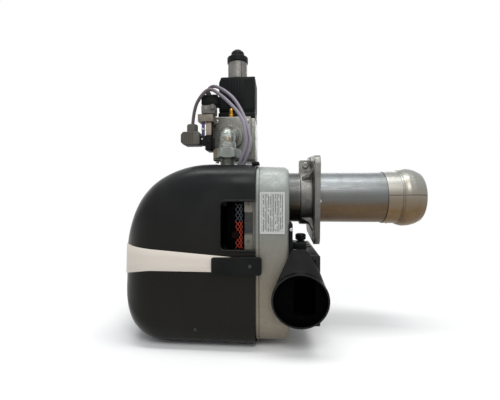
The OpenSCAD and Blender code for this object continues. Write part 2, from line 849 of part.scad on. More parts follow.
fan_housing();
back_plate();
inlet_ring();
rating_label();
latch_keepers();
motor_can();
motor_stator();
motor_shield_front();
motor_shield_rear();
motor_bearings();
capacitor_box();
fan_wheel();
motor_shaft();
motor_rotor();
control_base();
control_box();
reset_button();
cable_grommets();
ignition_transformer();
air_box();
air_adapter();
damper_bush();
damper_flap();
damper_knob();
blast_tube();
flame_head();
tube_screw();
gas_manifold();
gas_lance();
gas_nozzle();
diffuser();
electrode_ceramics();
electrode_rods();
boiler_flange();
flange_screws();
hood();
hood_band();
latch_near();
latch_far();
latch_pins();
gas_nipple();
union_nut();
gas_elbow();
valve_body();
valve_screws();
coil_plinth();
coil_box();
brake_tube();
brake_collar();
brake_cap();
test_nipple();
switch_bracket();
pressure_switch();
switch_cover();
switch_dial();
valve_connector();
valve_plug();
link_cable();
cable_switch();
cable_plug();
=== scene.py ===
import json
from math import cos, hypot, pi, radians, sin, sqrt

import bmesh
import bpy
from mathutils import Matrix, Vector


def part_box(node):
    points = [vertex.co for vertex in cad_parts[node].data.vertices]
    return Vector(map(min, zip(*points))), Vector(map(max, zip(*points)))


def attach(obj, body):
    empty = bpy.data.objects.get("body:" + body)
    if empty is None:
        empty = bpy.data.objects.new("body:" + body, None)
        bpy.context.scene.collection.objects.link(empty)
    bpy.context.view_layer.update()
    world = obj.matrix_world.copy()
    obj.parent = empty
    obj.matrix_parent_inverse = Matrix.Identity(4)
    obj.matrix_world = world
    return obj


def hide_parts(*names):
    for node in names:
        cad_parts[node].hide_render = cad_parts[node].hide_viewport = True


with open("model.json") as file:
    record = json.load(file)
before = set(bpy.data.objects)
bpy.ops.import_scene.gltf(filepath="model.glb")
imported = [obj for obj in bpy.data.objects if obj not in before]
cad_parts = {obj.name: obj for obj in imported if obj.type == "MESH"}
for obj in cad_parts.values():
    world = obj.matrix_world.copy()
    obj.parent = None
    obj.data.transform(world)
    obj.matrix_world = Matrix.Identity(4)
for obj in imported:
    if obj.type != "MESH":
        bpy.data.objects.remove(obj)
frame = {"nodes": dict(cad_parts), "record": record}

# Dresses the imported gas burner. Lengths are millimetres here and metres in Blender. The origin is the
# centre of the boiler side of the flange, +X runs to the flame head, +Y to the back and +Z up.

MM = 0.001
X, Z = 0, 2

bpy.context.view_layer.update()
nodes = frame["nodes"]
record = frame["record"]
slot_of = {part["node"]: part["material_slot"] for part in record["subparts"]}
body_of = {node: body for body, names in record["behaviour"]["bodies"].items() for node in names}


def corners(node):
    """Lowest and highest corner of a node, in millimetres."""
    low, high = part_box(node)
    return low / MM, high / MM


def add_object(name, data):
    obj = bpy.data.objects.new(name, data)
    bpy.context.scene.collection.objects.link(obj)
    return obj


# Camera

CAMERA_PLACE = (-62.5, -532.0, -1.8)
CAMERA_TURN = 4.8
CAMERA_DROP = 0.3
LENS = 23.04
SENSOR = 36.0
NEAREST = 10.0


def make_camera():
    data = bpy.data.cameras.new("camera")
    data.lens = LENS
    data.sensor_width = SENSOR
    data.sensor_fit = "HORIZONTAL"
    data.clip_start = NEAREST * MM
    camera = add_object("camera", data)
    camera.location = Vector(CAMERA_PLACE) * MM
    camera.rotation_euler = (radians(90 - CAMERA_DROP), 0, radians(CAMERA_TURN))
    bpy.context.scene.camera = camera


make_camera()

# Material helpers

DUST = (150, 146, 138)
DUST_SHARE = 0.06
SCRATCH = (92, 88, 82)
LABEL_PRINT = (74, 76, 76)
LINE_PITCH = 1.15
LABEL_X = (-83, -54.3)
LABEL_Z = (-47, 4.5)


def screen(rgb):
    """A colour given as 0 to 255 on screen, as Blender's linear values."""
    shares = [v / 255 for v in rgb]
    return [v / 12.92 if v <= 0.04045 else ((v + 0.055) / 1.055) ** 2.4 for v in shares] + [1]


class Shader:
    """A Principled material that is built up node by node, in object coordinates."""

    def __init__(self, name, colour, roughness, metallic=0.0, specular=0.5):
        self.material = bpy.data.materials.new(name)
        self.material.use_nodes = True
        self.tree = self.material.node_tree
        self.main = self.tree.nodes["Principled BSDF"]
        self.main.inputs["Base Color"].default_value = colour
        self.main.inputs["Roughness"].default_value = roughness
        self.main.inputs["Metallic"].default_value = metallic
        self.main.inputs["Specular IOR Level"].default_value = specular
        self.place = self.node("ShaderNodeTexCoord")["Object"]
        self.normal = None

    def node(self, kind, inputs=None, **settings):
        """A node's outputs. Each input is a value or the output that feeds it."""
        made = self.tree.nodes.new(kind)
        for key, value in settings.items():
            setattr(made, key, value)
        for key, value in (inputs or {}).items():
            if isinstance(value, bpy.types.NodeSocket):
                self.link(value, made.inputs[key])
            else:
                made.inputs[key].default_value = value
        return made.outputs

    def link(self, source, target):
        self.tree.links.new(source, target)

    def millimetres(self, scale=(1, 1, 1)):
        """Object coordinates in millimetres, multiplied along each axis."""
        inputs = {"Vector": self.place, "Scale": [s / MM for s in scale]}
        return self.node("ShaderNodeMapping", inputs)["Vector"]

    def noise(self, size, detail=3.0, scale=(1, 1, 1)):
        """Noise whose blobs are about size millimetres across."""
        inputs = {"Vector": self.millimetres(scale), "Scale": 1 / size, "Detail": detail}
        return self.node("ShaderNodeTexNoise", inputs)["Fac"]

    def grains(self, size):
        """Cells about size millimetres across, with a value of its own in each."""
        cells = self.node("ShaderNodeTexVoronoi", {"Vector": self.millimetres(), "Scale": 1 / size})
        return self.node("ShaderNodeSeparateColor", {"Color": cells["Color"]})[0]

    def spread(self, source, low, high, start=0.0, end=1.0):
        """source between low and high, moved to between start and end."""
        inputs = {"Value": source, "From Min": low, "From Max": high, "To Min": start, "To Max": end}
        return self.node("ShaderNodeMapRange", inputs)["Result"]

    def times(self, first, second):
        return self.node("ShaderNodeMath", {0: first, 1: second}, operation="MULTIPLY")["Value"]

    def along(self, axis):
        """Object coordinate along one axis, in millimetres."""
        return self.node("ShaderNodeSeparateXYZ", {"Vector": self.millimetres()})[axis]

    def tint(self, factor, colour):
        """Mixes a linear colour over the base colour by factor."""
        base = self.main.inputs["Base Color"]
        under = base.links[0].from_socket if base.is_linked else base.default_value
        self.link(self.node("ShaderNodeMix", {0: factor, 6: under, 7: colour}, data_type="RGBA")[2], base)

    def shade(self, shades):
        """Mixes each colour in between two places along an axis. A ripple size makes its border uneven."""
        for axis, start, end, rgb, share, *ripple in shades:
            factor = self.spread(self.along(axis), start, end, 0, share)
            if ripple:
                factor = self.times(factor, self.spread(self.noise(ripple[0], 5), 0.3, 0.6, 0.8, 1.0))
            self.tint(factor, screen(rgb))

    def vary_roughness(self, source, low, high):
        self.link(self.spread(source, 0.3, 0.7, low, high), self.main.inputs["Roughness"])

    def rounded(self, radius):
        """Shades sharp edges as if they had a radius, in millimetres."""
        self.normal = self.node("ShaderNodeBevel", {"Radius": radius * MM}, samples=4)["Normal"]

    def bump(self, source, depth, strength):
        """Raises the surface by source times depth, in millimetres."""
        inputs = {"Height": source, "Distance": depth * MM, "Strength": strength}
        if self.normal is not None:
            inputs["Normal"] = self.normal
        self.link(self.node("ShaderNodeBump", inputs)["Normal"], self.main.inputs["Normal"])


def plastic(name, rgb, roughness, specular, grain, depth, *shades):
    """Moulded plastic with a fine grain, slight flow marks and a little dust."""
    colour = screen(rgb)
    made = Shader(name, colour, roughness, specular=specular)
    made.rounded(0.4)
    made.bump(made.noise(grain, 2), depth, 0.5)
    made.vary_roughness(made.noise(28, 4), roughness - 0.06, roughness + 0.08)
    pale = [(1 - DUST_SHARE) * c + DUST_SHARE * d for c, d in zip(colour, screen(DUST))]
    made.tint(made.spread(made.noise(60, 3), 0.4, 0.8, 0, 0.5), pale)
    made.tint(made.spread(made.noise(0.9, 2), 0.66, 0.74, 0, 0.4), pale)
    made.shade(shades)
    return made.material


def dull_black(name):
    """Black that gives back almost no light, with a trace of dust."""
    made = Shader(name, screen((6, 6, 6)), 0.9, specular=0.0)
    made.tint(made.spread(made.noise(9, 4), 0.55, 0.8, 0, 0.5), screen((16, 15, 14)))
    made.bump(made.noise(0.7, 2), 0.03, 0.5)
    return made.material


def casting(name, rgb, dark, light, roughness, grain, depth, metallic, *shades):
    """Cast metal with a pebbled skin, darker hollows and polished high spots."""
    made = Shader(name, screen(rgb), roughness, metallic)
    made.rounded(0.6)
    made.tint(made.spread(made.noise(16, 5), 0.45, 0.75, 0, 0.6), screen(dark))
    made.tint(made.spread(made.noise(4, 6), 0.56, 0.8, 0, 0.55), screen(light))
    made.shade(shades)
    made.bump(made.noise(grain, 4), depth, 0.6)
    made.vary_roughness(made.noise(5, 4), roughness - 0.12, roughness + 0.15)
    return made.material


def sheet_steel(name, rgb, stain, roughness, edge, lines, *shades):
    """Drawn or rolled steel with fine lines along one axis and faint stains."""
    made = Shader(name, screen(rgb), roughness, 1.0)
    if edge:
        made.rounded(edge)
    made.tint(made.spread(made.noise(20, 5), 0.5, 0.8, 0, 0.55), screen(stain))
    made.tint(made.spread(made.noise(0.8, 3, lines), 0.55, 0.85, 0, 0.35), screen(SCRATCH))
    made.shade(shades)
    made.bump(made.noise(0.6, 3, lines), 0.015, 0.5)
    made.vary_roughness(made.noise(1.4, 4, lines), roughness - 0.08, roughness + 0.14)
    return made.material


def galvanised_iron(name):
    """Hot-dip zinc with pale and dark spangles."""
    made = Shader(name, screen((116, 120, 116)), 0.46, 0.85)
    made.rounded(0.4)
    made.tint(made.spread(made.grains(1.5), 0.45, 0.8, 0, 0.8), screen((166, 171, 167)))
    made.tint(made.spread(made.noise(2.2, 4), 0.52, 0.66, 0, 0.5), screen((82, 84, 80)))
    made.tint(made.spread(made.noise(11, 4), 0.56, 0.66, 0, 0.6), screen((104, 84, 58)))
    made.bump(made.noise(1.4, 4), 0.08, 0.5)
    made.vary_roughness(made.grains(2.1), 0.38, 0.56)
    return made.material


def ruled_foil(name):
    """Pale foil with plain broken lines that stand for print."""
    made = Shader(name, screen((186, 188, 183)), 0.45, 0.2)
    wave = made.node("ShaderNodeMath", {0: made.along(X), 1: LINE_PITCH}, operation="PINGPONG")["Value"]
    dashes = made.spread(made.noise(3.4, 2, (1.4, 1, 1)), 0.38, 0.44)
    mask = made.times(made.spread(wave, 0.6, 0.42), dashes)
    for axis, (start, end), soft in ((X, LABEL_X, 0.2), (Z, LABEL_Z, 0.5)):
        mask = made.times(mask, made.spread(made.along(axis), start, start + soft))
        mask = made.times(mask, made.spread(made.along(axis), end, end - soft))
    made.tint(mask, screen(LABEL_PRINT))
    made.bump(made.noise(0.5, 2), 0.01, 0.4)
    return made.material


# Colour, roughness, specular level, size and depth of the grain, then shades. A shade has its axis, start,
# end, colour, share and, for an uneven border, the size of the ripples.
PLASTICS = {
    "black_plastic": ((12, 14, 14), 0.42, 0.09, 0.5, 0.05),
    # Painted shade: the hood turns darker and warmer towards the bottom.
    "hood_plastic": ((25, 26, 27), 0.28, 0.12, 0.5, 0.02, (Z, 20, -90, (20, 18, 14), 0.8)),
    "band_plastic": ((216, 207, 196), 0.42, 0.3, 0.7, 0.02),
    "motor_paint": ((66, 69, 72), 0.4, 0.4, 1.2, 0.08),
    "red_plastic": ((16, 7, 6), 0.5, 0.03, 0.7, 0.02),
    "terminal_plastic": ((122, 118, 109), 0.45, 0.2, 0.6, 0.03, (Z, -40, -60, (104, 102, 95), 0.8)),
    "terminal_dark": ((58, 57, 56), 0.45, 0.15, 0.6, 0.03, (Z, -40, -48, (48, 54, 60), 0.8)),
    "transformer_resin": ((26, 28, 32), 0.24, 0.3, 3.0, 0.05),
    "rubber_black": ((17, 17, 17), 0.6, 0.15, 0.4, 0.05),
    "ceramic_white": ((228, 225, 218), 0.25, 0.5, 2.0, 0.02),
    "plug_plastic": ((86, 83, 76), 0.48, 0.2, 0.5, 0.05),
    "clear_grey": ((104, 101, 96), 0.3, 0.4, 0.8, 0.02),
    # Painted shade: the cables turn darker towards -X.
    "cable_grey": ((132, 126, 137), 0.45, 0.25, 0.4, 0.02, (X, -134, -164, (82, 74, 74), 0.85)),
    "cable_violet": ((84, 76, 120), 0.42, 0.3, 0.4, 0.02),
    "coil_plastic": ((12, 16, 17), 0.48, 0.07, 0.6, 0.06),
    "coil_side": ((98, 97, 93), 0.6, 0.0, 0.8, 0.04),
    "intake_plastic": ((7, 8, 9), 0.17, 0.2, 0.6, 0.01),
    "beige_plastic": ((160, 148, 130), 0.5, 0.3, 0.5, 0.03),
    "white_plastic": ((206, 203, 198), 0.5, 0.3, 0.6, 0.02),
    "coral_print": ((170, 62, 46), 0.5, 0.2, 0.6, 0.02),
    "blue_grey_print": ((74, 78, 84), 0.5, 0.2, 0.6, 0.02),
}

# Colour, colour of the hollows and of the high spots, roughness, grain size and depth, metal share, shades.
CASTINGS = {
    # Painted shade and a painted warm floor reflection: the housing turns darker, then warmer, towards the
    # bottom.
    "cast_housing": ((142, 147, 143), (130, 131, 124), (158, 163, 160), 0.55, 0.8, 0.04, 0.4,
                     (Z, 10, -30, (118, 119, 113), 0.75), (Z, -40, -120, (124, 114, 98), 0.8)),
    # Painted shade: the flange and hub turn darker below the middle.
    "flange_cast": ((122, 121, 117), (84, 82, 78), (160, 159, 155), 0.42, 1.2, 0.1, 0.85,
                    (Z, 16, -34, (60, 58, 54), 0.6)),
    "motor_shield": ((150, 150, 148), (104, 102, 98), (184, 184, 180), 0.45, 1.0, 0.1, 0.85),
    "brass": ((178, 132, 44), (116, 80, 24), (214, 176, 92), 0.3, 0.6, 0.02, 1.0),
    # Painted shade: the nut's left facets are darker and brown.
    "nut_zinc": ((118, 123, 118), (92, 88, 80), (146, 150, 146), 0.45, 1.0, 0.05, 0.8,
                 (X, -147.5, -150, (96, 78, 56), 0.8)),
    "valve_cast": ((118, 118, 112), (78, 75, 68), (156, 157, 152), 0.46, 0.9, 0.08, 0.85),
    "brake_paint": ((112, 110, 106), (84, 80, 74), (146, 142, 136), 0.45, 0.7, 0.04, 0.5),
    "bracket_paint": ((122, 114, 103), (92, 84, 74), (148, 140, 128), 0.5, 0.7, 0.04, 0.4),
}

# Colour, colour of the stains, roughness, rounding of the edges, stretch of the fine lines, shades.
ROLLED = (0.05, 1, 1)
STEELS = {
    "plate_steel": ((150, 150, 148), (118, 116, 112), 0.35, 0.3, ROLLED),
    "dull_steel": ((96, 95, 90), (74, 72, 68), 0.5, 0.3, ROLLED),
    # Painted light on the blast tube: painted shade below the top, a painted brown floor reflection on the
    # lower half and a painted shadow at its left end, between housing and flange.
    "tube_steel": ((116, 120, 122), (94, 90, 84), 0.4, 0, ROLLED, (Z, 26, 0, (94, 94, 91), 0.8),
                   (Z, -3, -14, (92, 72, 48), 0.9, 9), (X, -24, -30, (56, 54, 50), 0.65)),
    # Painted shade and a painted brown floor reflection: the flame head turns darker, then brown, towards the
    # bottom.
    "head_steel": ((144, 144, 139), (122, 112, 96), 0.36, 0, ROLLED, (Z, 24, -2, (122, 112, 96), 0.8),
                   (Z, 0, -20, (104, 82, 54), 0.9, 9)),
    "winding": ((150, 84, 48), (96, 52, 30), 0.35, 0.3, (1, 0.2, 1)),
    "dark_steel": ((62, 62, 64), (44, 42, 40), 0.4, 0.3, ROLLED),
    "bright_steel": ((178, 178, 176), (140, 136, 130), 0.25, 0.3, ROLLED),
}

MATERIALS = {}
for recipe, table in ((plastic, PLASTICS), (casting, CASTINGS), (sheet_steel, STEELS)):
    for kind, values in table.items():
        MATERIALS[kind] = recipe(kind, *values)
for recipe, kind in ((ruled_foil, "label_foil"), (galvanised_iron, "galvanised"), (dull_black, "deep_black")):
    MATERIALS[kind] = recipe(kind)

# Nodes that stay as they are with another material: the damper flap takes dull black as painted shade inside
# the air box, and the back plate takes dull steel.
FINISH_AND_SHADE = {"damper_flap": "deep_black", "back_plate": "dull_steel"}


def paint_nodes():
    """Gives each node of the frame the material of its slot."""
    for node, obj in nodes.items():
        material = MATERIALS[FINISH_AND_SHADE.get(node, slot_of[node])]
        if not obj.material_slots:
            obj.data.materials.append(material)
        for place in obj.material_slots:
            place.material = material


paint_nodes()

# Mesh helpers


def finish_piece(name, mesh, material, body, smooth):
    obj = add_object(name, mesh)
    mesh.materials.clear()
    mesh.materials.append(MATERIALS[material])
    for face in mesh.polygons:
        face.use_smooth = True
    mesh.set_sharp_from_angle(angle=radians(smooth))
    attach(obj, body)
    return obj


def dress(node, mesh, material=None, smooth=35):
    """The mesh takes the node's place, on its body and in its slot."""
    obj = finish_piece(node + "_look", mesh, material or slot_of[node], body_of[node], smooth)
    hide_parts(node)
    return obj


def trim(name, mesh, node, material=None):
    """The mesh is a detail that moves with a node's body."""
    finish_piece(name, mesh, material or slot_of[node], body_of[node], 35)


def mesh_from(name, points, faces):
    """A mesh from points in millimetres."""
    mesh = bpy.data.meshes.new(name)
    mesh.from_pydata([Vector(p) * MM for p in points], [], faces)
    mesh.validate()
    work = bmesh.new()
    work.from_mesh(mesh)
    bmesh.ops.remove_doubles(work, verts=work.verts, dist=1e-7)
    bmesh.ops.recalc_face_normals(work, faces=work.faces)
    work.to_mesh(mesh)
    work.free()
    return mesh


def baked(mesh, kind, **settings):
    """The mesh after one modifier."""
    obj = add_object("work", mesh)
    modifier = obj.modifiers.new(kind, kind)
    for key, value in settings.items():
        setattr(modifier, key, value)
    bpy.context.view_layer.update()
    graph = bpy.context.evaluated_depsgraph_get()
    result = bpy.data.meshes.new_from_object(obj.evaluated_get(graph))
    bpy.data.objects.remove(obj)
    return result


def bevelled(mesh, width, segments=2, angle=32):
    """The mesh with its sharp edges rounded to width millimetres."""
    return baked(mesh, "BEVEL", width=width * MM, segments=segments, limit_method="ANGLE",
                 angle_limit=radians(angle), use_clamp_overlap=True)


def combined(mesh, others, operation):
    for other in others:
        obj = add_object("other", other)
        mesh = baked(mesh, "BOOLEAN", object=obj, operation=operation, solver="EXACT")
        bpy.data.objects.remove(obj)
    return mesh


def cut(mesh, *others):
    """The mesh less each of the others."""
    return combined(mesh, others, "DIFFERENCE")


def joined(*meshes):
    """Several meshes kept as they are in one."""
    whole = bmesh.new()
    for mesh in meshes:
        whole.from_mesh(mesh)
    result = bpy.data.meshes.new("joined")
    whole.to_mesh(result)
    whole.free()
    return result


def moved(mesh, turn=None, shift=(0, 0, 0)):
    """The mesh turned by a matrix and then shifted, in millimetres."""
    matrix = (turn or Matrix()).to_4x4()
    mesh.transform(Matrix.Translation(Vector(shift) * MM) @ matrix)
    return mesh


def bridged(rows, wide, closed_across=True, closed_along=False):
    """Faces between neighbouring rows of points that are numbered row by row."""
    faces = []
    for i in range(rows if closed_along else rows - 1):
        a = i * wide
        b = (i + 1) % rows * wide
        for j in range(wide if closed_across else wide - 1):
            k = (j + 1) % wide
            faces.append((a + j, b + j, b + k, a + k))
    return faces


def skinned(rings, closed=False):
    """A closed skin over rings with the same number of points. A closed one joins its ends like a tyre."""
    n = len(rings[0])
    faces = bridged(len(rings), n, closed_along=closed)
    if not closed:
        faces.append(tuple(range(n - 1, -1, -1)))
        faces.append(tuple(range((len(rings) - 1) * n, len(rings) * n)))
    return mesh_from("skin", [p for ring in rings for p in ring], faces)


def on_axis(axis, along, u, v):
    return {"X": (along, u, v), "Y": (u, along, v), "Z": (u, v, along)}[axis]


def turns(count):
    """Angles of count even steps round a circle."""
    return [2 * pi * i / count for i in range(count)]


def turned(profile, axis="X", place=(0, 0, 0), steps=64, closed=False):
    """A profile of (along, radius) points turned round a line along one axis."""
    rings = []
    for along, radius in profile:
        offsets = [on_axis(axis, along, radius * cos(a), radius * sin(a)) for a in turns(steps)]
        rings.append([Vector(place) + Vector(offset) for offset in offsets])
    return skinned(rings, closed)


def bar(axis, start, end, radius, place=(0, 0, 0), soft=0.0, steps=48):
    """A round bar along one axis, with its ends' edges rounded."""
    if not soft:
        return turned([(start, radius), (end, radius)], axis, place, steps)
    profile = [(start, radius - soft), (start + 0.3 * soft, radius - 0.3 * soft), (start + soft, radius),
               (end - soft, radius), (end - 0.3 * soft, radius - 0.3 * soft), (end, radius - soft)]
    return turned(profile, axis, place, steps)


def grip_bars(place, z0, z1, around, radius, angles, steps=8):
    """Thin upright bars round a vertical axis."""
    return [bar("Z", z0, z1, radius, (place[0] + around * cos(a), place[1] + around * sin(a), 0), 0.3, steps)
            for a in angles]


def prism(outline, axis, start, end, soft=0.0, segments=2):
    """An outline extruded along one axis. Its points are the other two coordinates, in X, Y, Z order."""
    mesh = skinned([[on_axis(axis, along, u, v) for u, v in outline] for along in (start, end)])
    return bevelled(mesh, soft, segments) if soft else mesh


def block(low, high, soft=0.0, segments=2):
    """A block between two corners, with rounded edges."""
    outline = [(low[0], low[1]), (high[0], low[1]), (high[0], high[1]), (low[0], high[1])]
    return prism(outline, "Z", low[2], high[2], soft, segments)


def arc(cx, cy, r, start, end, steps):
    """Points of an arc, with angles in degrees."""
    angles = [radians(start + (end - start) * i / steps) for i in range(steps + 1)]
    return [(cx + r * cos(a), cy + r * sin(a)) for a in angles]


def round_box(x0, y0, x1, y1, r, steps=8):
    """A rectangle with round corners, anticlockwise."""
    return (arc(x1 - r, y1 - r, r, 0, 90, steps) + arc(x0 + r, y1 - r, r, 90, 180, steps)
            + arc(x0 + r, y0 + r, r, 180, 270, steps) + arc(x1 - r, y0 + r, r, 270, 360, steps))


def eased(points, radius, closed=True, steps=5):
    """The points with each corner rounded by about a radius."""
    result = []
    count = len(points)
    for i, here in enumerate(points):
        here = Vector(here)
        if not closed and i in (0, count - 1):
            result.append(here)
            continue
        back = Vector(points[i - 1]) - here
        ahead = Vector(points[(i + 1) % count]) - here
        first = here + back.normalized() * min(radius, back.length * 0.45)
        last = here + ahead.normalized() * min(radius, ahead.length * 0.45)
        for k in range(steps + 1):
            t = k / steps
            result.append(first * (1 - t) ** 2 + here * 2 * t * (1 - t) + last * t * t)
    return result


def swept(path, section, up=(0, 1, 0)):
    """A section of (side, up) points swept along a path."""
    rings = []
    last = len(path) - 1
    for i, point in enumerate(path):
        ahead = (Vector(path[min(i + 1, last)]) - Vector(path[max(i - 1, 0)])).normalized()
        side = ahead.cross(Vector(up)).normalized()
        top = side.cross(ahead)
        rings.append([Vector(point) + side * s + top * t for s, t in section])
    return skinned(rings)


def round_section(radius, steps=20):
    return arc(0, 0, radius, 0, 360 - 360 / steps, steps - 1)


def hexagon(u, v, radius):
    return [(u + radius * cos(radians(60 * k)), v + radius * sin(radians(60 * k))) for k in range(6)]


def screw_head(face, radius, place, height):
    """A pan head with a cross slot, which stands out from a face towards the near side."""
    profile = [(0, radius), (0.5 * height, radius), (0.85 * height, 0.8 * radius), (height, 0.45 * radius)]
    mesh = turned([(face - a, r) for a, r in profile], "Y", place, 32)
    top = face - height
    arms = []
    for u, v in ((0.7 * radius, 0.16 * radius), (0.16 * radius, 0.7 * radius)):
        arm = prism([(-u, -v), (u, -v), (u, v), (-u, v)], "Y", top - 0.5, top + 0.9)
        arms.append(moved(arm, shift=place))
    return cut(mesh, *arms)


# Cables. Their points are those of the solids.

CABLE_D = 5.0
CABLE_SWITCH = [(-113, -62, -2), (-113, -62, 12), (-113, -62, 28), (-113, -62, 44), (-109, -64, 54),
                (-104, -66, 66), (-101.5, -66, 81), (-104, -64, 96), (-110, -60, 116), (-117, -56, 132),
                (-127, -52, 148), (-139, -48, 160), (-152, -43, 169), (-161, -39, 172.5),
                (-167.5, -38, 170), (-169, -38, 163)]
CABLE_PLUG = [(-119, -62, -2), (-119, -62, 12), (-119, -62, 28), (-119, -62.5, 44), (-115.5, -65, 54),
              (-110, -67.5, 67), (-107, -69.5, 80), (-108, -69.5, 94), (-111.5, -67, 110), (-119, -63, 124),
              (-129, -61, 136), (-140, -59, 147), (-151, -58, 156), (-159, -57, 161), (-167, -56, 161),
              (-176, -55, 153.5), (-184, -52, 143), (-189, -48, 131), (-192, -44, 119), (-192.8, -43, 113)]


def smooth_path(points, spans=6):
    """Points along a smooth curve through the given ones."""
    result = []
    last = len(points) - 1
    for i in range(last):
        p0, p1, p2, p3 = (Vector(points[min(max(k, 0), last)]) for k in (i - 1, i, i + 1, i + 2))
        for step in range(spans):
            t = step / spans
            result.append(0.5 * (2 * p1 + (p2 - p0) * t + (2 * p0 - 5 * p1 + 4 * p2 - p3) * t * t
                                 + (3 * p1 - p0 - 3 * p2 + p3) * t ** 3))
    result.append(Vector(points[last]))
    return result


def make_cable(node, route):
    path = smooth_path(route)
    obj = dress(node, swept(path, round_section(CABLE_D / 2, 24)))


make_cable("cable_switch", CABLE_SWITCH)
make_cable("cable_plug", CABLE_PLUG)

# Hood

HOOD_X1 = -91.7
HOOD_X0 = -291.7
HOOD_HALF = 103.0
HOOD_TOP = 48.0
HOOD_LOW = 211.0
HOOD_WALL = 3.0
HOOD_EDGE = 38.0
CROWN_X = HOOD_X0 + 132
CROWN_Z = -79.0
HEEL_X = HOOD_X0 + 76
HEEL_Z = -163.0
HEEL_END = 0.3
HEEL_TURN = 0.85
END_LOW_Z = -112.0
END_LEAN = 6.0
END_ANGLE = 80.0
PLAN_R = 60.0
WINDOW_X0 = HOOD_X1 - 47
WINDOW_TOP = -6.5
WINDOW_LOW = -71.5
WINDOW_R = 6.0
BEAD_R = 1.5
SLOT_X0 = -151
SLOT_Y = (-75, -45)
SLOT_R = 10
HOOD_SCREW = (-174, 0, -182)


def top_point(t, inset):
    a = radians(END_ANGLE * t)
    return CROWN_X - (CROWN_X - HOOD_X0 - inset) * sin(a), CROWN_Z + (HOOD_TOP - inset - CROWN_Z) * cos(a)


def low_point(t, inset):
    if t < HEEL_END:
        return CROWN_X + (HEEL_X - CROWN_X) * t / HEEL_END, -HOOD_LOW + inset
    if t < HEEL_TURN:
        a = pi / 2 * (t - HEEL_END) / (HEEL_TURN - HEEL_END)
        return (HEEL_X - (HEEL_X - HOOD_X0 - END_LEAN - inset) * sin(a),
                HEEL_Z - (HOOD_LOW + HEEL_Z - inset) * cos(a))
    u = (t - HEEL_TURN) / (1 - HEEL_TURN)
    return HOOD_X0 + inset + END_LEAN * (1 - u), HEEL_Z + (END_LOW_Z - HEEL_Z) * u


def half_width(x, inset):
    d = max(0.0, HOOD_X0 + inset + PLAN_R - x) / PLAN_R
    return HOOD_HALF - inset - PLAN_R * (1 - sqrt(max(0.0, 1 - d * d)))


def ring_frame(top, low, inset):
    """Middle, half height, up direction, half width and corner radius of a ring of the hood."""
    mid = (top[0] + low[0]) / 2, (top[1] + low[1]) / 2
    half = hypot(top[0] - low[0], top[1] - low[1]) / 2
    up = (top[0] - low[0]) / (2 * half), (top[1] - low[1]) / (2 * half)
    wide = half_width(mid[0], inset)
    return mid, half, up, wide, min(HOOD_EDGE - inset, half - 1, wide - 1)


def hood_ring(top, low, inset):
    mid, half, up, wide, r = ring_frame(top, low, inset)
    outline = round_box(-wide, -half, wide, half, r, 12)
    return [(mid[0] + up[0] * v, u, mid[1] + up[1] * v) for u, v in outline]


def rim_ring(x, inset):
    return hood_ring((x, HOOD_TOP - inset), (x, -HOOD_LOW + inset), inset)


def bent_rings(inset, count=48):
    """Rings round the curved part, then over the far end."""
    rings = []
    for i in range(count + 1):
        rings.append(hood_ring(top_point(i / count, inset), low_point(i / count, inset), inset))
    last = rings[-1]
    middle = sum((Vector(p) for p in last), Vector()) / len(last)
    for share in (0.97, 0.85, 0.5, 0.04):
        rings.append([middle + (Vector(p) - middle) * share for p in last])
    return rings


def window_outline(grow):
    """The window in X and Z, open past the hood's rim."""
    x0, x1 = WINDOW_X0 - grow, HOOD_X1 + 4
    top, low, r = WINDOW_TOP + grow, WINDOW_LOW - grow, WINDOW_R + grow
    corner_arcs = arc(x0 + r, top - r, r, 90, 180, 8) + arc(x0 + r, low + r, r, 180, 270, 8)
    return [(x1, top)] + corner_arcs + [(x1, low)]


def make_hood():
    halfway = (HOOD_X1 + CROWN_X) / 2
    rim = ((0, 0.9), (0.3, 0.3), (0.9, 0))
    outer = [rim_ring(HOOD_X1 - back, inset) for back, inset in rim] + [rim_ring(halfway, 0)] + bent_rings(0)
    inner = [rim_ring(HOOD_X1, HOOD_WALL), rim_ring(halfway, HOOD_WALL)] + bent_rings(HOOD_WALL)
    mesh = skinned(list(reversed(outer)) + inner)
    near = -HOOD_HALF
    window = prism(window_outline(0), "Y", near - 6, near + HOOD_WALL + 4)
    slot = round_box(SLOT_X0, SLOT_Y[0], HOOD_X1 + 20, SLOT_Y[1], SLOT_R)
    dress("hood", cut(mesh, window, prism(slot, "Z", HOOD_TOP - 12, HOOD_TOP + 6)), smooth=30)
    bead = [(min(x, HOOD_X1), near, z) for x, z in window_outline(1.6)]
    trim("window_bead", swept(bead, round_section(BEAD_R, 12)), "hood")
    trim("hood_tab", block((-98, -82, 46), (-87.5, -60, 50), 1.0), "hood", "black_plastic")
    trim("hood_screw", screw_head(-102.1, 2.4, HOOD_SCREW, 1.0), "hood", "dark_steel")


BAND_T = 1.1
BAND_TOP = -74.5
BAND_SLOPE = 0.08
BAND_LOW = -102.0
BAND_MIDDLE = (BAND_TOP + BAND_LOW) / 2
BAND_DIP = 12.0
BAND_DIP_X = -235.0


def band_top(x):
    """Upper edge of the band, which rises towards the far end."""
    return BAND_TOP - BAND_SLOPE * (x + 210)


def band_low(x):
    """Lower edge of the band, which dips towards the far end."""
    share = min(max((BAND_DIP_X - x) / (BAND_DIP_X - HOOD_X0), 0), 1)
    return BAND_LOW - BAND_DIP * share ** 1.5


def hood_side(height, inset, count=60):
    """Points of the hood's side, from the rim to the middle of the far end. height gives z at x."""
    line = [(HOOD_X1, HOOD_HALF - inset, height(HOOD_X1))]
    for i in range(count + 1):
        mid, half, up, wide, r = ring_frame(top_point(i / count, inset), low_point(i / count, inset), inset)
        z = height(mid[0] + up[0] * (BAND_MIDDLE - mid[1]) / up[1])
        v = (z - mid[1]) / up[1]
        fall = max(0.0, abs(v) - (half - r))
        line.append((mid[0] + up[0] * v, wide - r + sqrt(max(0.0, r * r - fall * fall)), z))
    x, y, z = line[-1]
    line += [(x, y * k / 6, z) for k in (5, 4, 3, 2, 1, 0)]
    return line


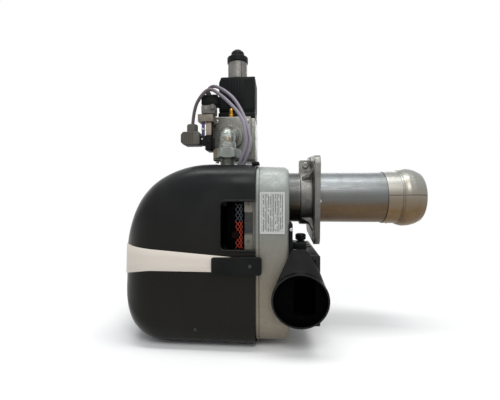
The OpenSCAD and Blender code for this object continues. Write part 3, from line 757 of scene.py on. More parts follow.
def make_band():
    """The light band, as a strip laid round the hood."""
    rows = ((0.0, 0.0), (BAND_T - 0.4, 0.0), (BAND_T, 0.02), (BAND_T, 0.35), (BAND_T, 0.65), (BAND_T, 0.98),
            (BAND_T - 0.4, 1.0), (0.0, 1.0))
    points = []
    for proud, share in rows:
        side = hood_side(lambda x: band_top(x) + (band_low(x) - band_top(x)) * share, -proud)
        points.append([(x, -y, z) for x, y, z in side] + [(x, y, z) for x, y, z in reversed(side[:-1])])
    faces = bridged(len(rows), len(points[0]), closed_across=False)
    dress("hood_band", mesh_from("band", [p for line in points for p in line], faces), smooth=50)


LATCH_PIN = (-98.3, -92.5)
PIN_HOLE_R = 2.7


def make_latches():
    x, z = LATCH_PIN
    nose = x + 15.5
    tail = nose - 68
    outline = (arc(nose - 4, z + 8.5, 4, 0, 90, 5) + arc(tail + 3, z + 8.0, 3, 90, 170, 4)
               + arc(tail + 5, z - 6.5, 5, 190, 262, 5) + arc(nose - 4, z - 8.5, 4, 270, 360, 5))
    for node in ("latch_near", "latch_far"):
        low, high = corners(node)
        mesh = prism(outline, "Y", low[1], high[1], 1.3, 4)
        mesh = cut(mesh, bar("Y", low[1] - 1, high[1] + 1, PIN_HOLE_R, (x, 0, z)))
        face = low[1] if low[1] < 0 else high[1]
        grip = [bar("Z", z - 6.5, z + 6.5, 0.7, (tail + 8 + 4 * i, face, 0), 0.5, 12) for i in range(4)]
        dress(node, joined(mesh, *grip))
    heads = []
    for side in (-1, 1):
        heads.append(bar("Y", *sorted((side * 104.2, side * 109.4)), 2.5, (x, 0, z)))
        heads.append(bar("Y", *sorted((side * 109, side * 110)), 2.3, (x, 0, z), 0.4))
    dress("latch_pins", joined(*heads))
    low, high = corners("latch_keepers")
    keepers = [block((low[0], y, low[2]), (high[0], y + 4.2, high[2]), 1.0) for y in (low[1], high[1] - 4.2)]
    dress("latch_keepers", joined(*keepers))


# Housing and label

HOUSING_X0 = -91.4
HOUSING_X1 = -45.6
HOUSING_HALF = 100.0
HOUSING_TOP = 45.0
HOUSING_LOW = -206.0
HOUSING_R = 38.0
FAN_Z = -125.0
FAN_HOLE_R = 33.0
TUBE_R = 40.0


def housing_ring(x, inset):
    wide = HOUSING_HALF - inset
    outline = round_box(-wide, HOUSING_LOW + inset, wide, HOUSING_TOP - inset, HOUSING_R - inset, 14)
    return [(x, y, z) for y, z in outline]


def make_housing():
    """The casting: a lip on the hood's side, a step, and a rounded edge on the tube's side."""
    x0, x1 = HOUSING_X0, HOUSING_X1
    lip = [(x0, 1.0), (x0 + 0.4, 0.3), (x0 + 1.2, 0.0), (x0 + 3.8, 0.0), (x0 + 4.1, 0.3)]
    step = [(x0 + 4.3, 1.7), (x0 + 5.0, 1.7), (x0 + 5.3, 0.7), (x0 + 6.0, 0.5)]
    edge = [(x1 - 6.0, 1.5), (x1 - 3.0, 2.6), (x1 - 1.1, 4.2), (x1 - 0.2, 6.4), (x1, 8.5)]
    shell = skinned([housing_ring(x, inset) for x, inset in lip + step + edge])
    cavity = skinned([housing_ring(x0 - 2, 5), housing_ring(x1 - 4, 6)])
    tube_hole = bar("X", x1 - 9, x1 + 4, TUBE_R, steps=96)
    fan_hole = bar("X", x1 - 9, x1 + 4, FAN_HOLE_R, (0, 0, FAN_Z))
    dress("fan_housing", cut(shell, cavity, tube_hole, fan_hole), smooth=28)
    low, high = corners("rating_label")
    dress("rating_label", prism(round_box(low[0], low[2], high[0], high[2], 1.6, 4), "Y", low[1], high[1]))


# Blast tube, flame head and flange

SLEEVE_X = 103.7
SLEEVE_R = 41.5
SEAM_TILT = 4.0


def make_flame_head():
    """Sleeve, fold, bulb and turned-in mouth, with the seam along the near side."""
    s = SLEEVE_X
    bulb = [(s + 20.5, SLEEVE_R), (s + 22.5, 42.6), (s + 27.0, 44.7), (s + 31, 45.5), (s + 39, 45.0),
            (s + 47, 43.0)]
    outside = eased([(s, 40.1), (s, SLEEVE_R)] + bulb + [(s + 55.3, 39.0), (s + 57.3, 36.3)], 1.2, False, 4)
    inside = [(s + 56.8, 35.4), (s + 52.5, 36.2), (s + 42, 40.6), (s + 34, 42.6), (s + 25, 40.1)]
    profile = outside + eased(inside, 1.2, False, 4)
    dress("flame_head", turned([tuple(p) for p in profile], "X", steps=96, closed=True))
    tilt = radians(SEAM_TILT)
    seam = [(s + 0.5, SLEEVE_R)] + bulb + [(s + 55, 39.1)]
    path = [(x, -r * cos(tilt), r * sin(tilt)) for x, r in seam]
    section = [(-0.45, -0.3), (0.45, -0.3), (0.45, 0.12), (-0.45, 0.12)]
    trim("head_seam", swept(path, section), "flame_head", "dark_steel")
    folds = []
    for x, r in ((s + 20.9, 41.6), (s + 23.6, 43.0)):
        ring = [(x + 0.7 * cos(a), r + 0.7 * sin(a)) for a in turns(8)]
        folds.append(turned(ring, "X", steps=96, closed=True))
    trim("head_folds", joined(*folds), "flame_head")
    rivets = []
    for angle in (0, 90, 270):
        a = radians(angle)
        head = turned([(0, 2.2), (0.5, 1.9), (0.8, 1.1)], "Z", steps=24)
        rivets.append(moved(head, Matrix.Rotation(a - pi / 2, 3, "X"), (s + 9, 41.3 * cos(a), 41.3 * sin(a))))
    trim("head_rivets", joined(*rivets), "flame_head")


FLANGE_TURN = 5.0
FLANGE_HALF = 66.0
FLANGE_T = 8.0
FLANGE_R = 14
HUB_X0 = -26.5
HUB_R = 44.0
LUG_Z = 60.0
LUG_HALF = 11
CLAMP_SCREW = (HUB_X0 + 9, 0, 52)
BOLT_AT = 75 * cos(pi / 4)
BOLT_HOLE_R = 4.5
TUBE_SCREW = (3, 0, -6)


def make_flange():
    turn = Matrix.Rotation(radians(FLANGE_TURN), 3, "X")
    face = -FLANGE_T
    plate = prism(round_box(-FLANGE_HALF, -FLANGE_HALF, FLANGE_HALF, FLANGE_HALF, FLANGE_R, 10), "X", face, 0)
    hub = turned([(HUB_X0, HUB_R - 1.2), (HUB_X0 + 0.4, HUB_R - 0.4), (HUB_X0 + 1.4, HUB_R),
                  (face - 4, HUB_R), (face - 1.5, HUB_R + 0.9), (face, HUB_R + 3.2),
                  (face + 1, HUB_R + 3.2)], "X", steps=96)
    lug_outline = eased([(HUB_X0 + 0.2, 36), (HUB_X0 + 0.2, LUG_Z), (face - 1, LUG_Z), (face - 1, 50),
                         (face + 0.5, 46), (face + 0.5, 36)], 1.6)
    rib_outline = [(HUB_X0 + 2, HUB_R - 2), (HUB_X0 + 2, HUB_R + 0.8), (face - 6, HUB_R + 8), (face + 1, 70),
                   (face + 1, HUB_R - 2)]
    ribs = [moved(prism(rib_outline, "Y", -3, 3), Matrix.Rotation(radians(45 + 90 * quarter), 3, "X"))
            for quarter in range(4)]
    body = combined(plate, [hub, prism(lug_outline, "Y", -LUG_HALF, LUG_HALF)] + ribs, "UNION")
    holes = [bar("X", face - 14, 2, BOLT_HOLE_R, (0, sy * BOLT_AT, sz * BOLT_AT), steps=32)
             for sy in (-1, 1) for sz in (-1, 1)]
    bore = bar("X", HUB_X0 - 2, 2, TUBE_R + 0.05, steps=96)
    body = cut(body, bore, block((HUB_X0 - 2, -1, 30), (2, 1, 75)), *holes)
    dress("boiler_flange", moved(bevelled(body, 0.9, 2, 30), turn), smooth=40)
    u, v = CLAMP_SCREW[0], CLAMP_SCREW[2]
    head = turned([(-15, 3.6), (-14.4, 4.4), (-LUG_HALF, 4.4)], "Y", CLAMP_SCREW, 32)
    head = cut(head, prism(hexagon(u, v, 2.3), "Y", -16, -12.6))
    nut = prism(hexagon(u, v, 4.3), "Y", LUG_HALF, 14.6, 0.4)
    dress("flange_screws", moved(joined(head, bar("Y", -11.5, 15, 2.4, CLAMP_SCREW), nut), turn))
    screw = screw_head(-TUBE_R - 0.1, 2.2, TUBE_SCREW, 1.3)
    dress("tube_screw", joined(screw, bar("Y", -TUBE_R - 0.1, -37.5, 1.8, TUBE_SCREW)))


# Air intake

MOUTH = Vector((-32, -116, -136))
MOUTH_LEAN = 8.0
MOUTH_R = 38.0
BORE_R = 35.5
MOUTH_LEN = 10.0
THROAT = 8.2
BOX_Y0 = -100.0
BOX_TOP = -78.0
BOX_WALL = 3.0
AIR_HOLE_R = 28
DAMPER_AT = (-28, -60, 0)
RING_STEPS = 120
ADAPTER_BASE = [(-44, -168), (-8, -168), (-8, -92), (-22, -70), (-44, -70)]
# How far each ring of the mouth lies from the axis and out along it.
MOUTH_RINGS = ((37.4, -8.6), (37.6, -7), (37.6, -2.6), (37.9, -2.1), (MOUTH_R, -1.0), (37.7, -0.3),
               (37.1, 0.0), (36.2, -0.1), (35.6, -0.6), (BORE_R, -1.5), (BORE_R - 0.3, -THROAT))


def support_ring(outline):
    """For each direction, the point of a convex outline that lies furthest out."""
    return [max(outline, key=lambda p: p[0] * cos(a) + p[1] * sin(a)) for a in turns(RING_STEPS)]


def mouth_point(u, v, out):
    """A point near the mouth: u along X, v up across the mouth and out along its axis."""
    lean = radians(MOUTH_LEAN)
    return MOUTH + Vector((u, -cos(lean) * out - sin(lean) * v, -sin(lean) * out + cos(lean) * v))


def mouth_ring(r, out):
    return [mouth_point(r * cos(a), r * sin(a), out) for a in turns(RING_STEPS)]


def throat_rings(out, grow, y):
    """The opening from the mouth to the air box, grown to each side, at a depth and at y."""
    outline = round_box(-9 - grow, -24 - grow, 21 + grow, 28 + grow, 6)
    opening = [mouth_point(u, v, out) for u, v in support_ring(outline)]
    return [opening, [(p.x, y, p.z) for p in opening]]


def make_adapter():
    """The black adapter that flares from the air box to the round mouth."""
    flat = support_ring([tuple(p) for p in eased(ADAPTER_BASE, 5, steps=8)])
    collar = mouth_ring(MOUTH_R - 0.7, -MOUTH_LEN + 1)
    rings = [[(x, y, z) for x, z in flat] for y in (BOX_Y0, BOX_Y0 - 2.6)]
    start = [Vector(p) for p in rings[-1]]
    rings += [[a.lerp(b, share) for a, b in zip(start, collar)] for share in (0.3, 0.6, 0.85)]
    rings += [mouth_ring(r, out) for r, out in MOUTH_RINGS]
    rings += throat_rings(-THROAT - 0.4, 0, BOX_Y0)
    low, high = corners("air_box")
    cover = prism(round_box(low[0] + 0.1, low[2], high[0], BOX_TOP, 1.6, 4), "Y", BOX_Y0 - 2, BOX_Y0, 0.5)
    cover = cut(cover, prism(round_box(-42, -162, -10, -104, 5), "Y", BOX_Y0 - 4, BOX_Y0 + 2))
    bolts = [screw_head(BOX_Y0 - 2, 2.2, (x, 0, z), 1.2) for x, z in ((-10, -84), (-9.5, -167))]
    dress("air_adapter", joined(skinned(rings, True), cover, *bolts), "intake_plastic", 40)
    # Painted shade: a dull black sheet inside the mouth and throat stands for the deep shade in the intake.
    shade_sheet = [mouth_ring(BORE_R - 0.4, -1.6), mouth_ring(BORE_R - 0.7, -8)]
    shade_sheet += throat_rings(-THROAT, -0.5, BOX_Y0 - 0.2)
    faces = [(a, d, c, b) for a, b, c, d in bridged(len(shade_sheet), RING_STEPS)]
    trim("intake_shade_sheet", mesh_from("shade_sheet", [p for ring in shade_sheet for p in ring], faces), "air_adapter",
         "deep_black")


def make_air_box():
    low, high = corners("air_box")
    x0, y0, z0 = low
    x1, y1, z1 = high
    box = block(low, (x1, y1, BOX_TOP), 2.2, 4)
    hollow = block((x0 + BOX_WALL, y0 - 1, z0 + BOX_WALL), (x1 - BOX_WALL, y1 - BOX_WALL, BOX_TOP - BOX_WALL))
    air_hole = bar("X", x0 - 1, x0 + 4, AIR_HOLE_R, (0, 0, FAN_Z))
    box = cut(box, hollow, air_hole, bar("Z", BOX_TOP - 10, BOX_TOP + 2, 3.1, DAMPER_AT))
    strip = block((x0, y0 + 2, BOX_TOP - 1), (x0 + 4.5, y0 + 48, z1), 1.2, 3)
    ribs = [block((x0 + 5, y, BOX_TOP - 0.3), (x1 - 4, y + 1.6, BOX_TOP + 1.2), 0.4) for y in (-24, 2, 28)]
    boss = block((-40.5, -75, BOX_TOP - 1), (-20.5, -46, BOX_TOP + 13.6), 1.8, 3)
    boss = cut(boss, bar("Z", BOX_TOP - 2, BOX_TOP + 15, 6.1, DAMPER_AT))
    dress("air_box", joined(box, strip, boss, *ribs), smooth=40)
    trim("strip_screw", screw_head(y0 + 2, 2.2, (x0 + 2.4, 0, z1 - 8), 1.0), "air_box", "bright_steel")
    bush = [(BOX_TOP, 6.0), (-64, 6.0), (-63, 5.4), (-63, 3.1), (BOX_TOP, 3.1)]
    dress("damper_bush", turned(bush, "Z", DAMPER_AT, 40, True))
    body = turned([(-62, 6.4), (-61.4, 7.0), (-54.6, 7.0), (-53.6, 6.4), (-53, 5.2)], "Z", DAMPER_AT, 48)
    pointer = prism(eased([(-30, -60), (-29.2, -72), (-26.8, -72), (-26, -60)], 1.0), "Z", -60, -55, 0.4)
    dress("damper_knob", joined(body, pointer, *grip_bars(DAMPER_AT, -61.2, -54.2, 7.0, 0.6, turns(20))))


# Gas train

PIPE = (-136.0, -60.0, 0.0)
PIPE_R = 10.65
PIPE_BORE_R = 8.05
THREAD_PITCH = 1.8
THREAD_R = 10.1
THREAD_LOW = 47.0
NUT_R = 18.0
NUT_TURN = 8.0
ELBOW_Z = 96.0
ELBOW_BEND = 14.0
ELBOW_END_Y = -26.0
INLET_R = 9.3


def make_pipe():
    """Nipple with a thread below the union nut."""
    low, high = corners("gas_nipple")
    profile = [(low[2], 10.0), (low[2] + 0.6, PIPE_R), (THREAD_LOW, PIPE_R)]
    z = THREAD_LOW
    while z < high[2] - THREAD_PITCH:
        profile += [(z + 0.35 * THREAD_PITCH, THREAD_R), (z + 0.65 * THREAD_PITCH, THREAD_R),
                    (z + THREAD_PITCH, PIPE_R)]
        z += THREAD_PITCH
    profile += [(high[2], 10.3), (high[2], PIPE_BORE_R), (low[2], PIPE_BORE_R)]
    dress("gas_nipple", turned(profile, "Z", PIPE, 64, True))


def make_nut():
    """Hexagon whose corners are chamfered by a cone at both ends."""
    low, high = corners("union_nut")
    count = 96
    rings = []
    for z, cone in ((low[2], 18.2), (low[2] + 0.4, 19.2), (low[2] + 1.3, 21), (high[2] - 1.3, 21),
                    (high[2] - 0.4, 19.2), (high[2], 18.2), (high[2], 10.7), (low[2], 10.7)):
        ring = []
        for i in range(count):
            a = radians(NUT_TURN) + 2 * pi * i / count
            off = 2 * pi * (i % (count // 6)) / count - pi / 6
            r = min(NUT_R / cos(off), cone)
            ring.append((PIPE[0] + r * cos(a), PIPE[1] + r * sin(a), z))
        rings.append(ring)
    dress("union_nut", skinned(rings, True), "nut_zinc", 25)


def make_elbow():
    """Bent barrel with a thick band at each end."""
    x, y, _ = PIPE
    bend = ELBOW_BEND
    path = [(x, y, 76), (x, y, ELBOW_Z - bend)]
    for degrees in range(10, 91, 10):
        a = radians(degrees)
        path.append((x, y + bend - bend * cos(a), ELBOW_Z - bend + bend * sin(a)))
    path.append((x, ELBOW_END_Y - 6, ELBOW_Z))
    barrel = swept(path, round_section(12.0, 40), (1, 0, 0))
    collar = turned([(71, 12.2), (71.6, 13.0), (78.4, 13.2), (79.6, 12.8), (80.6, 11.4)], "Z", PIPE, 48)
    back = turned([(-38, 11.4), (-36.8, 13.0), (-35.4, 13.4), (-27, 13.4), (ELBOW_END_Y, 12.8)], "Y",
                  (x, 0, ELBOW_Z), 48)
    dress("gas_elbow", joined(barrel, collar, back))


def make_valve():
    low, high = corners("valve_body")
    x0, x1, z0, z1 = low[0], -104, low[2], high[2]
    face, mid, end = -20.0, -8.0, high[1]
    port = (PIPE[0], 0, ELBOW_Z)
    front = prism([(x0, z0), (x1 - 12, z0), (x1, z0 + 14), (x1, z1), (x0, z1)], "Y", face, mid, 1.6, 3)
    rear = block((x0 + 4, mid - 1, z0 + 2), (-98, end, z1 - 0.2), 1.2)
    boss = turned([(face - 6, 17.6), (face - 5.4, 19.0), (face - 4, 19.8), (face + 1, 20.0), (face + 1, 12.5),
                   (face - 6, 12.5)], "Y", port, 64, True)
    starts = [x0 + 6 + 7.5 * i for i in range(6)]
    ribs = [block((x, face - 0.9, z0 + 5), (x + 2, face + 1, z0 + 15), 0.4) for x in starts]
    rear = cut(rear, bar("Y", end - 20, end + 1, INLET_R, port))
    dress("valve_body", joined(front, rear, boss, *ribs))
    heads = [screw_head(face, 3.4, (x, 0, z1 - 8), 2.3) for x in (x0 + 6, x1 - 6)]
    heads += [bar("Z", z0 - 3.5, z0 + 1, 3, (x, face + 6, 0), 0.5) for x in (x0 + 6, x1 - 17)]
    dress("valve_screws", joined(*heads))


def make_coil():
    low, high = corners("coil_plinth")
    lip = block(low, (high[0], high[1], high[2] - 2), 1.0, 3)
    step = block((low[0] + 1.5, low[1] + 1, high[2] - 3), (high[0] - 0.5, high[1] - 1, high[2]), 0.8)
    dress("coil_plinth", joined(lip, step), "coil_plastic")
    low, high = corners("coil_box")
    face = low[1] + 1.2
    left, right = low[0], high[0] - 0.2
    z0, z1 = low[2], high[2]
    outline = [(left, z0), (right, z0), (right, z1), (left + 3.5, z1), (left, z1 - 9)]
    starts = [left + 17.6 + 4.4 * i for i in range(5)]
    ribs = [block((x, face - 1.2, z0 + 3), (x + 2.6, face + 1, z1 - 3), 0.5) for x in starts]
    panels = [prism(round_box(x, z0 + 4, x + wide, z1 - 4, 1.2, 4), "Y", face - 0.5, face + 1)
              for x, wide in ((left + 3, 11.5), (left + 42, 15))]
    body = prism(outline, "Y", face, high[1], 1.6, 3)
    dress("coil_box", joined(body, *panels, *ribs), "coil_plastic")
    side = prism(round_box(face + 5, z0 + 4, high[1] - 5, z1 - 4, 2, 4), "X", high[0] - 0.6, high[0])
    trim("coil_side_plate", side, "coil_box", "coil_side")


def make_brake():
    low, high = corners("brake_tube")
    place = ((low[0] + high[0]) / 2, (low[1] + high[1]) / 2, 0)
    z0, z1, r = low[2], high[2], 16.4
    groove = [(z0 + 3.0, r), (z0 + 3.3, r - 0.5), (z0 + 4.0, r - 0.5), (z0 + 4.3, r)]
    dress("brake_tube", turned([(z0, r)] + groove + [(z1 - 0.8, r), (z1, r - 0.6)], "Z", place, 72))
    seam_angles = [radians(a) for a in (300, 215, 120, 35)]
    seams = grip_bars(place, z0 + 1.5, z1 - 1, r - 0.3, 0.6, seam_angles, 10)
    trim("brake_seams", joined(*seams), "brake_tube", "dark_steel")
    low, high = corners("brake_collar")
    z0, z1, r = low[2], high[2], 17.8
    grip = grip_bars(place, z0 + 1.4, z1 - 1.4, r - 0.6, 0.7, turns(36))
    collar = turned([(z0, r - 0.7), (z0 + 0.6, r - 0.1), (z1 - 1, r - 0.1), (z1 - 0.2, r - 1), (z1, r - 2.4),
                     (z1, 8.1), (z0, 8.1)], "Z", place, 72, True)
    dress("brake_collar", joined(collar, *grip))
    low, high = corners("brake_cap")
    z0, top = low[2], high[2]
    cap = turned([(z0, 7.6), (z0 + 0.4, 8), (top - 13.2, 8), (top - 13.2, 10.8), (top - 12.6, 11.3),
                  (top - 6.6, 11.2), (top - 4.6, 10.5), (top - 3.0, 8.6), (top - 1.2, 6.6), (top - 0.4, 4.8),
                  (top, 2.6)], "Z", place, 64)
    slot = block((place[0] - 12, place[1] - 0.9, top - 1.6), (place[0] + 12, place[1] + 0.9, top + 2))
    grip = grip_bars(place, top - 12.4, top - 6.8, 10.8, 0.6, turns(24))
    dress("brake_cap", joined(cut(cap, slot), *grip))


def make_test_nipple():
    low, high = corners("test_nipple")
    x, y = (low[0] + high[0]) / 2, (low[1] + high[1]) / 2
    z = low[2]
    base = prism(hexagon(x, y, 4.2), "Z", z, z + 5, 0.4)
    stem = turned([(z + 5, 2.4), (z + 6, 2.4), (z + 6.4, 3.0), (z + 8, 3.0), (z + 8.4, 2.5), (z + 10, 2.5),
                   (z + 10.4, 3.0), (z + 12.5, 2.8), (high[2], 1.9)], "Z", (x, y, 0), 32)
    dress("test_nipple", joined(base, stem))


SWITCH_TOP = 157.0
SWITCH_GLAND = (-169, -38, 0)
DIAL_AT = (-160.5, 0, 136.5)


def make_switch():
    """Gas pressure switch: bracket, grey base, dial and black cover with its gland."""
    low, high = corners("switch_bracket")
    plate = block(low, (-160, -28, high[2]), 1.2, 3)
    arm = cut(block((-172, -29, low[2]), (-160, high[1], high[2])), bar("Y", -23, -19, 4, (-159.5, 0, 122)))
    dots = [bar("Y", low[1] - 0.7, low[1] + 0.5, 1.6, (x, 0, low[2] + 4.5), 0.3, 16) for x in (-180, -165)]
    dress("switch_bracket", joined(plate, arm, *dots))
    low, high = corners("pressure_switch")
    y = low[1]
    ring = turned([(y - 0.9, 5.4), (y + 0.5, 5.4), (y + 0.5, 4.2), (y - 0.9, 4.2)], "Y", DIAL_AT, 40, True)
    foot = block((low[0] + 1.2, y - 0.6, low[2] + 0.4), (low[0] + 9, y + 1, high[2] - 3), 0.5)
    dress("pressure_switch", joined(block(low, high, 1.4, 3), ring, foot))
    low, high = corners("switch_cover")
    top = SWITCH_TOP
    cover = block(low, (high[0], high[1], top), 2.0, 4)
    groove = block((low[0] - 1, low[1] - 1, low[2] + 2.4), (high[0] + 1, low[1] + 0.5, low[2] + 3.2))
    gland = [(top - 0.5, 5.0), (top + 2.2, 5.0), (top + 2.8, 4.4), (top + 4.6, 4.2), (high[2], 3.4)]
    dress("switch_cover", joined(cut(cover, groove), turned(gland, "Z", SWITCH_GLAND, 40)))
    low, high = corners("switch_dial")
    x, _, z = DIAL_AT
    dial = turned([(high[1], 3.2), (low[1] + 1.2, 3.2), (low[1] + 0.8, 2.6)], "Y", DIAL_AT, 32)
    grip = block((x - 0.5, low[1], z - 2.8), (x + 0.5, low[1] + 2, z + 2.8), 0.3)
    dress("switch_dial", joined(dial, grip))


PLUG_GLAND = (-193.5, -42, 0)
PLUG_OUTLINE = [(-209, 84), (-205, 80), (-181, 80), (-180, 82), (-180, 98), (-181, 100), (-205, 100),
                (-209, 96)]


def make_connector():
    """Connector block on the valve, its plug and the violet link."""
    low, high = corners("valve_connector")
    main = block((-172, low[1], 72), (high[0], high[1], 95), 1.3, 3)
    stub = block((low[0], low[1], 80), (-171, -34, 94), 1.3, 3)
    screw = screw_head(low[1], 2.3, (-167, 0, 84), 0.8)
    dress("valve_connector", joined(main, stub, screw, block((-172, -44, 95), (-163, -28, 116), 0.8)))
    tag = block((-171.6, -44.6, 96), (-163.4, -43.5, 115.4), 0.3)
    trim("connector_tag", tag, "valve_connector", "beige_plastic")
    dot = bar("Y", low[1] - 0.5, low[1] + 0.4, 1.3, (-176.5, 0, 89), 0.2, 16)
    trim("connector_dot", dot, "valve_connector", "white_plastic")
    low, high = corners("valve_plug")
    y0, y1, z1 = low[1], high[1], high[2]
    flutes = [block((-207 + 3.1 * i, y0 - 0.5, 81.5), (-205.6 + 3.1 * i, y0 + 0.9, 98.5)) for i in range(6)]
    body = cut(prism(eased(PLUG_OUTLINE, 1.5), "Y", y0, y1, 1.0), *flutes)
    top = turned([(99.5, 8.2), (111.6, 8.2), (112.6, 7.2), (z1, 4.0), (z1, 2.6)], "Z", PLUG_GLAND, 48)
    dress("valve_plug", joined(body, top, *grip_bars(PLUG_GLAND, 100.6, 111, 7.9, 0.6, turns(18))))
    low, high = corners("link_cable")
    x, y = (low[0] + high[0]) / 2, (low[1] + high[1]) / 2
    dress("link_cable", bar("Z", low[2], high[2], CABLE_D / 2, (x, y, 0)))
    tie = turned([(104.2, 2.5), (104.2, 3.1), (106.4, 3.1), (106.4, 2.5)], "Z", (x, y, 0), 32, True)
    head = block((x - 1.3, y - 4.4, 104), (x + 1.3, y - 2.4, 106.6), 0.3)
    trim("cable_tie", joined(tie, head), "link_cable", "white_plastic")


# Ignition control behind the window

BUTTON_AT = (-119.5, 0, -52)
BUTTON_R = 5.0
DIAMOND = 8.0
PRINT_R = 0.42


def zigzags(z0, z1, face):
    """Two columns of plain diamonds that lie on a face, clear of the button."""
    lines = []
    room = bar("Y", face - 2, face + 2, BUTTON_R + 0.8, BUTTON_AT)
    count = round((z1 - z0) / DIAMOND)
    for x, half in ((-116.0, 3.2), (-111.4, 2.0)):
        for side in (-half, half):
            bends = [(x + (side if i % 2 else -side), face - 0.1, z0 + (z1 - z0) * i / count)
                     for i in range(count + 1)]
            lines.append(cut(swept(eased(bends, 1.6, False, 3), round_section(PRINT_R, 6)), room))
    return joined(*lines)


def make_control():
    low, high = corners("control_box")
    x0, y0, z0 = low
    x1, y1, z1 = high
    hole = bar("Y", y0 - 1, y0 + 10, BUTTON_R + 0.3, BUTTON_AT)
    front = cut(block((x0 + 6.5, y0, z0), high, 1.4, 3), hole)
    side = block((x0, y0 + 7, z0 + 1), (x0 + 7, y1, z1 - 1), 1.4, 3)
    dress("control_box", joined(front, side), "deep_black")
    trim("control_lines_grey", zigzags(-33, -9, y0), "control_box", "blue_grey_print")
    trim("control_lines_coral", zigzags(-70.5, -33.4, y0), "control_box", "coral_print")
    low, high = corners("control_base")
    x0, y0, z0 = low
    x1, y1, z1 = high
    upper = block((x0, y0, -21), high, 0.8)
    lower = block(low, (x1, y1, -52), 0.8)
    middle = block((x0, y0 + 3, -54), (x1, y1, -19), 0.4)
    dark = [block((x0 + 0.6, y0 + 1.2, z), (x1, y0 + 4, z + 12.4), 0.5) for z in (-49, -35)]
    trim("terminal_covers", joined(*dark), "control_base", "terminal_dark")
    screws = [screw_head(y0, 2.6, (-101.2, 0, z), 0.9) for z in (-10, -60, -72)]
    dress("control_base", joined(upper, lower, middle, *screws))
    low, high = corners("reset_button")
    face = low[1]
    profile = [(high[1], BUTTON_R), (face + 0.8, BUTTON_R), (face + 0.2, 4.5), (face, 3.4), (face + 0.5, 1.5)]
    dress("reset_button", turned(profile, "Y", BUTTON_AT, 40))


# Motor and the parts under the hood

MOTOR_R = 47.0


def make_motor():
    place = (0, 0, FAN_Z)
    low, high = corners("motor_can")
    x0, x1, r = low[0], high[0], MOTOR_R
    shell = turned([(x0, r - 3), (x0, r - 0.6), (x0 + 0.6, r - 0.2), (x1 - 0.6, r - 0.2), (x1, r - 0.6),
                    (x1, r - 3)], "X", place, 72, True)
    fins = []
    for i in range(24):
        a = radians(15 * i)
        if sin(a) < 0.25 and abs(cos(a)) < 0.97:
            fin = block((x0 + 8, -0.8, r - 1.4), (x1 - 8, 0.8, r), 0.3)
            fins.append(moved(fin, Matrix.Rotation(a, 3, "X"), place))
    dress("motor_can", joined(shell, *fins))


def make_boxes():
    """Capacitor box on the motor, and ignition transformer with its two lugs."""
    low, high = corners("capacitor_box")
    room = bar("X", low[0] - 1, high[0] + 1, MOTOR_R, (0, 0, FAN_Z), steps=96)
    dress("capacitor_box", cut(block(low, high, 2.0, 4), room))
    low, high = corners("ignition_transformer")
    body = block((-170, low[1], low[2]), high, 2.5, 4)
    lugs = [block((low[0], y, -50), (-169, y + 15, -35), 1.2, 3) for y in (35, 65)]
    dress("ignition_transformer", joined(body, *lugs))


# Stage and light

FLOOR_Z = -211.0
FLOOR_GAP = 0.3
FLOOR_SIZE = 3000
FLOOR_FADE = (240, 520)
FLOOR_MIDDLE = (-90, 20, FLOOR_Z)
PAPER = (0.9, 0.9, 0.9, 1)
ROOM_COLOUR = (0.96, 0.98, 1.0, 1)
ROOM_LEVEL = 0.55
LAMP_AIM = (-70, 0, 0)
# Place, size and power of each lamp.
LAMPS = {
    "key": ((50, -900, 850), (600, 500), 6),
    "top": ((-80, -160, 1100), (1200, 300), 9.5),
    "rim": ((100, 1100, 500), (900, 600), 4),
}


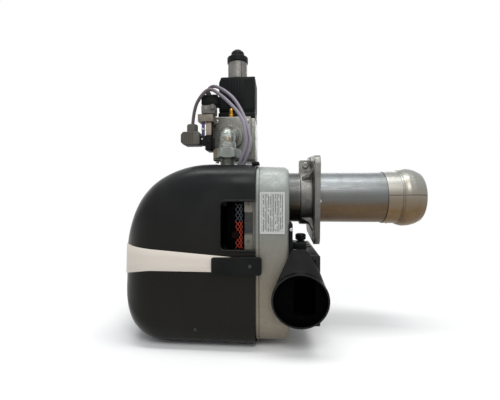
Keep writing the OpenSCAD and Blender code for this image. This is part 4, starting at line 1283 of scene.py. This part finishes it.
def make_stage():
    """White floor that fades out some way from the burner."""
    size = FLOOR_SIZE
    z = FLOOR_Z - FLOOR_GAP
    floor = mesh_from("floor", [(-size, -size, z), (size, -size, z), (size, size, z), (-size, size, z)],
                      [(0, 1, 2, 3)])
    made = Shader("floor_paper", PAPER, 0.9, specular=0.0)
    far = made.node("ShaderNodeVectorMath", {0: made.millimetres(), 1: FLOOR_MIDDLE}, operation="DISTANCE")
    clear = made.node("ShaderNodeBsdfTransparent")["BSDF"]
    fade = made.spread(far["Value"], *FLOOR_FADE)
    mix = made.node("ShaderNodeMixShader", {0: fade, 1: made.main.outputs["BSDF"], 2: clear})
    made.link(mix["Shader"], made.tree.nodes["Material Output"].inputs["Surface"])
    floor.materials.append(made.material)
    obj = add_object("floor", floor)


def make_world():
    """A soft room for diffuse light; the camera, gloss and glass see white."""
    world = bpy.data.worlds.new("studio")
    world.use_nodes = True
    bpy.context.scene.world = world
    tree = world.node_tree
    room = tree.nodes["Background"]
    room.inputs["Color"].default_value = ROOM_COLOUR
    room.inputs["Strength"].default_value = ROOM_LEVEL
    white = tree.nodes.new("ShaderNodeBackground")
    white.inputs["Color"].default_value = (1, 1, 1, 1)
    white.inputs["Strength"].default_value = 1.0
    path = tree.nodes.new("ShaderNodeLightPath")
    factor = path.outputs["Is Camera Ray"]
    for kind in ("Is Glossy Ray", "Is Transmission Ray"):
        either = tree.nodes.new("ShaderNodeMath")
        either.operation = "MAXIMUM"
        tree.links.new(factor, either.inputs[0])
        tree.links.new(path.outputs[kind], either.inputs[1])
        factor = either.outputs["Value"]
    mix = tree.nodes.new("ShaderNodeMixShader")
    tree.links.new(factor, mix.inputs[0])
    tree.links.new(room.outputs["Background"], mix.inputs[1])
    tree.links.new(white.outputs["Background"], mix.inputs[2])
    tree.links.new(mix.outputs["Shader"], tree.nodes["World Output"].inputs["Surface"])


def make_lamp(name, place, size, power):
    data = bpy.data.lights.new(name, "AREA")
    data.shape = "RECTANGLE"
    data.size, data.size_y = size[0] * MM, size[1] * MM
    data.energy = power
    obj = add_object(name, data)
    obj.location = Vector(place) * MM
    obj.rotation_euler = (Vector(LAMP_AIM) - Vector(place)).to_track_quat("-Z", "Y").to_euler()


for make in (make_hood, make_band, make_latches, make_housing, make_flame_head, make_flange, make_adapter,
             make_air_box, make_pipe, make_nut, make_elbow, make_valve, make_coil, make_brake,
             make_test_nipple, make_switch, make_connector, make_control, make_motor, make_boxes, make_stage,
             make_world):
    make()
for lamp, settings in LAMPS.items():
    make_lamp(lamp, *settings)
bpy.context.scene.view_settings.view_transform = "Standard"
